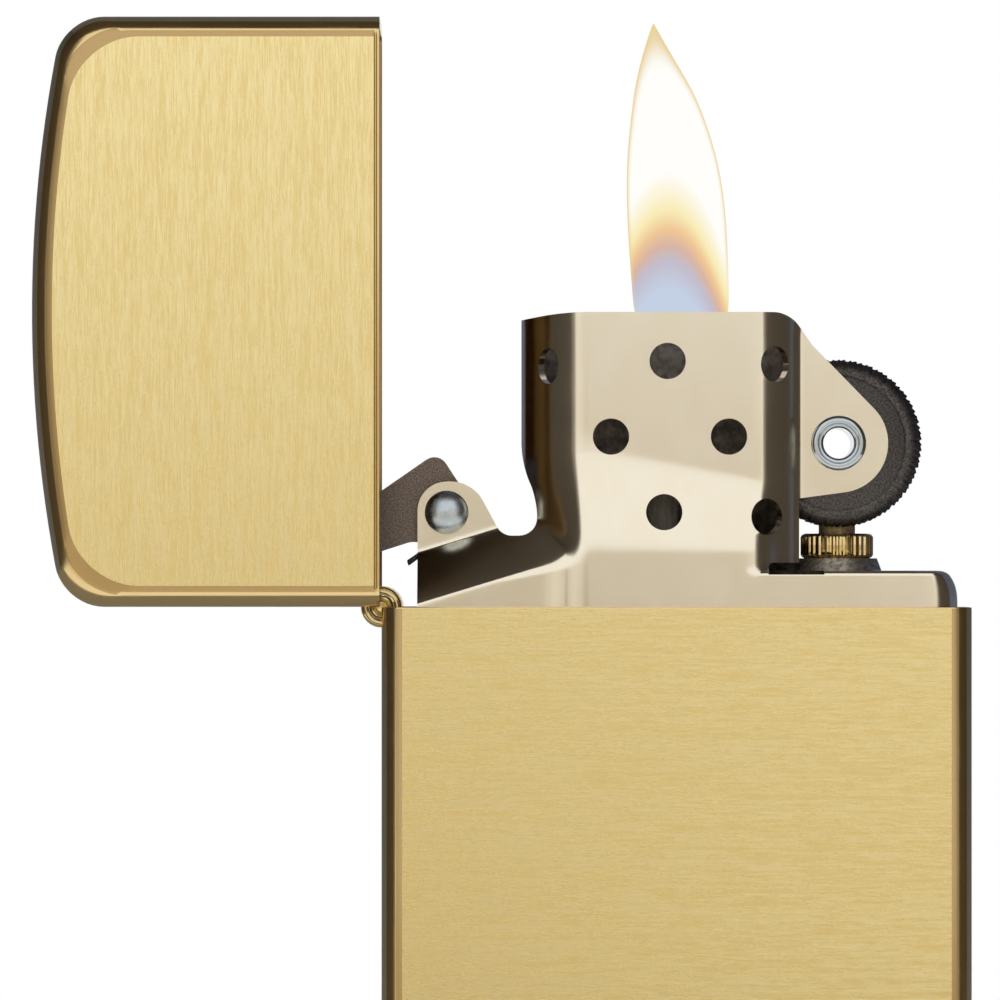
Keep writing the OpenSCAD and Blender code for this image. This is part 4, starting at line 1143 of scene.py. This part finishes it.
def burning_gas():
    """Flame: a white core, a thin amber rim and a blue foot, which give light at the strength of white."""
    material, tree, shader = new_material(
        "burning_gas", base_color=(0, 0, 0), roughness=1.0, specular_ior_level=0.0, emission_strength=1.0)
    place = add(tree, "ShaderNodeSeparateXYZ", {0: add(tree, "ShaderNodeTexCoord").outputs["Object"]})
    across = add(tree, "ShaderNodeMath", {0: place.outputs["X"], 1: FLAME_MID * MM}, operation="SUBTRACT")
    squared = add(tree, "ShaderNodeMath", {0: across.outputs[0], 1: 2.0}, operation="POWER")
    over = add(tree, "ShaderNodeMath", {
        0: squared.outputs[0], 1: ARCH_FALL / MM, 2: place.outputs["Z"]}, operation="MULTIPLY_ADD")
    low, high = FLAME_TONES[0][0], FLAME_TONES[-1][0]
    height = add(tree, "ShaderNodeMapRange", {
        "Value": over.outputs[0], "From Min": (RIM_Z + ARCH_Z + low) * MM,
        "From Max": (RIM_Z + ARCH_Z + high) * MM})
    ramp = add(tree, "ShaderNodeValToRGB", {"Fac": height.outputs["Result"]})
    for over_arch, _ in FLAME_TONES[1:-1]:
        ramp.color_ramp.elements.new((over_arch - low) / (high - low))
    for stop, (_, code) in zip(ramp.color_ramp.elements, FLAME_TONES):
        stop.color = rgba(linear(code))
    depth = add(tree, "ShaderNodeMath", {0: place.outputs["Y"]}, operation="ABSOLUTE")
    side = add(tree, "ShaderNodeMapRange", {
        "Value": depth.outputs[0], "From Min": AMBER_SIDE[0] * MM, "From Max": AMBER_SIDE[1] * MM,
        "To Min": 1.0, "To Max": 0.0}, interpolation_type="SMOOTHSTEP")
    rise = add(tree, "ShaderNodeMapRange", {
        "Value": place.outputs["Z"], "From Min": (RIM_Z + AMBER_RISE[0]) * MM,
        "From Max": (RIM_Z + AMBER_RISE[1]) * MM, "To Min": AMBER_FOOT, "To Max": 1.0,
    }, interpolation_type="SMOOTHSTEP")
    rim = add(tree, "ShaderNodeMath", {0: side.outputs[0], 1: rise.outputs[0]}, operation="MULTIPLY")
    tone = add(tree, "ShaderNodeMix", {
        0: rim.outputs[0], 6: ramp.outputs["Color"], 7: rgba(linear(AMBER))}, data_type="RGBA")
    tree.links.new(tone.outputs[2], shader.inputs["Emission Color"])
    return material


def card(name, middle, extent, code):
    """A plain matt card of the studio."""
    bm = block(middle, extent)
    bmesh.ops.scale(bm, vec=(MM, MM, MM), verts=bm.verts)
    mesh = bpy.data.meshes.new(name)
    bm.to_mesh(mesh)
    bm.free()
    mesh.materials.append(new_material(name + "_paper", base_color=linear(code), roughness=1.0)[0])
    item = bpy.data.objects.new(name, mesh)
    bpy.context.scene.collection.objects.link(item)
    return item


def lift_floor(material):
    """Lets the eye and the metal see the floor as pale as its paper, with part of its shadow."""
    tree = material.node_tree
    out = tree.nodes["Material Output"]
    paper = out.inputs["Surface"].links[0].from_socket
    path = add(tree, "ShaderNodeLightPath")
    shone = add(
        tree, "ShaderNodeMath", {0: path.outputs["Is Glossy Ray"], 1: FLOOR_SHINE}, operation="MULTIPLY")
    share = add(
        tree, "ShaderNodeMath", {0: path.outputs["Is Camera Ray"], 1: FLOOR_LIFT, 2: shone.outputs[0]},
        operation="MULTIPLY_ADD")
    glow = add(tree, "ShaderNodeEmission", {"Color": rgba(linear(FLOOR_PAPER)), "Strength": 1.0})
    both = add(tree, "ShaderNodeMixShader", {0: share.outputs[0], 1: paper, 2: glow.outputs[0]})
    tree.links.new(both.outputs[0], out.inputs["Surface"])


class LIGHTER_OT_stage(Operator):
    """Sets the white studio, its grey cards, the floor and the camera"""
    bl_idname = "lighter.stage"
    bl_label = "Studio"

    def execute(self, context):
        scene = context.scene
        scene.view_settings.view_transform = "Standard"
        scene.world = bpy.data.worlds.new("white_studio")
        scene.world.use_nodes = True
        backdrop = scene.world.node_tree.nodes["Background"]
        backdrop.inputs["Color"].default_value = (1, 1, 1, 1)
        backdrop.inputs["Strength"].default_value = 1.0
        for name, middle, extent, code in (
            ("left_card", (-270, -150, 150), (2, 300, 440), NEAR_PAPER),
            ("right_card", (250, -150, 150), (2, 300, 440), NEAR_PAPER),
            ("top_card", (-10, -150, 330), (520, 300, 2), NEAR_PAPER),
            ("left_grey_card", (-270, -355, 150), (2, 110, 440), GREY_PAPER),
            ("right_grey_card", (250, -355, 150), (2, 110, 440), GREY_PAPER),
            ("far_left_card", (-270, 440, 150), (2, 880, 440), FAR_PAPER),
            ("far_right_card", (250, 440, 150), (2, 880, 440), FAR_PAPER),
            ("far_top_card", (-10, 440, 330), (520, 880, 2), FAR_PAPER),
            ("cream_card", (-20, -640, -110), (1060, 2, 370), "#fbf3e3"),
            ("brown_card", (-48, -630, -30), (70, 2, 110), "#a98d5f"),
        ):
            card(name, middle, extent, code).visible_camera = False
        lift_floor(card("pale_floor", (0, 65, -1), (260, 210, 2), FLOOR_PAPER).data.materials[0])
        camera = bpy.data.objects.new("photo_camera", bpy.data.cameras.new("photo_camera"))
        scene.collection.objects.link(camera)
        scene.camera = camera
        view_mm = PHOTO_PX / PX_PER_MM
        eye_x = (PHOTO_PX / 2 - CASE_MID_PX) / PX_PER_MM
        eye_z = RIM_Z + (RIM_PY - EYE_PY) / PX_PER_MM
        camera.location = Vector((eye_x, CASE_LOW.y - CAMERA_AWAY, eye_z)) * MM
        camera.rotation_euler = (math.radians(90), 0, 0)
        camera.data.lens = camera.data.sensor_width * CAMERA_AWAY / view_mm
        camera.data.shift_y = (EYE_PY - PHOTO_PX / 2) / PHOTO_PX
        camera.data.clip_start, camera.data.clip_end = 0.01, 20
        return {"FINISHED"}


class LIGHTER_PT_panel(Panel):
    """Lists the pieces of the lighter and its studio"""
    bl_idname = "LIGHTER_PT_panel"
    bl_label = "Flip-top lighter"
    bl_space_type = "VIEW_3D"
    bl_region_type = "UI"
    bl_category = "Lighter"

    def draw(self, context):
        for operator in OPERATORS:
            self.layout.operator(operator.bl_idname)
        for settings in (context.scene.lighter_sizes, context.scene.lighter_colours):
            box = self.layout.box()
            for name in settings.__annotations__:
                box.prop(settings, name)


OPERATORS = (
    LIGHTER_OT_case, LIGHTER_OT_lid, LIGHTER_OT_hinge, LIGHTER_OT_insert, LIGHTER_OT_spark_wheel,
    LIGHTER_OT_flint, LIGHTER_OT_cam, LIGHTER_OT_filling, LIGHTER_OT_flame, LIGHTER_OT_stage,
)
CLASSES = (LighterSizes, LighterColours, *OPERATORS, LIGHTER_PT_panel)


def register():
    for item in CLASSES:
        bpy.utils.register_class(item)
    Scene.lighter_sizes = PointerProperty(type=LighterSizes)
    Scene.lighter_colours = PointerProperty(type=LighterColours)


def unregister():
    del Scene.lighter_colours
    del Scene.lighter_sizes
    for item in reversed(CLASSES):
        bpy.utils.unregister_class(item)


def main():
    register()
    bpy.ops.lighter.case()
    bpy.ops.lighter.lid()
    bpy.ops.lighter.hinge()
    bpy.ops.lighter.insert()
    bpy.ops.lighter.spark_wheel()
    bpy.ops.lighter.flint()
    bpy.ops.lighter.cam()
    bpy.ops.lighter.filling()
    bpy.ops.lighter.flame()
    bpy.ops.lighter.stage()


if __name__ == "__main__":
    main()
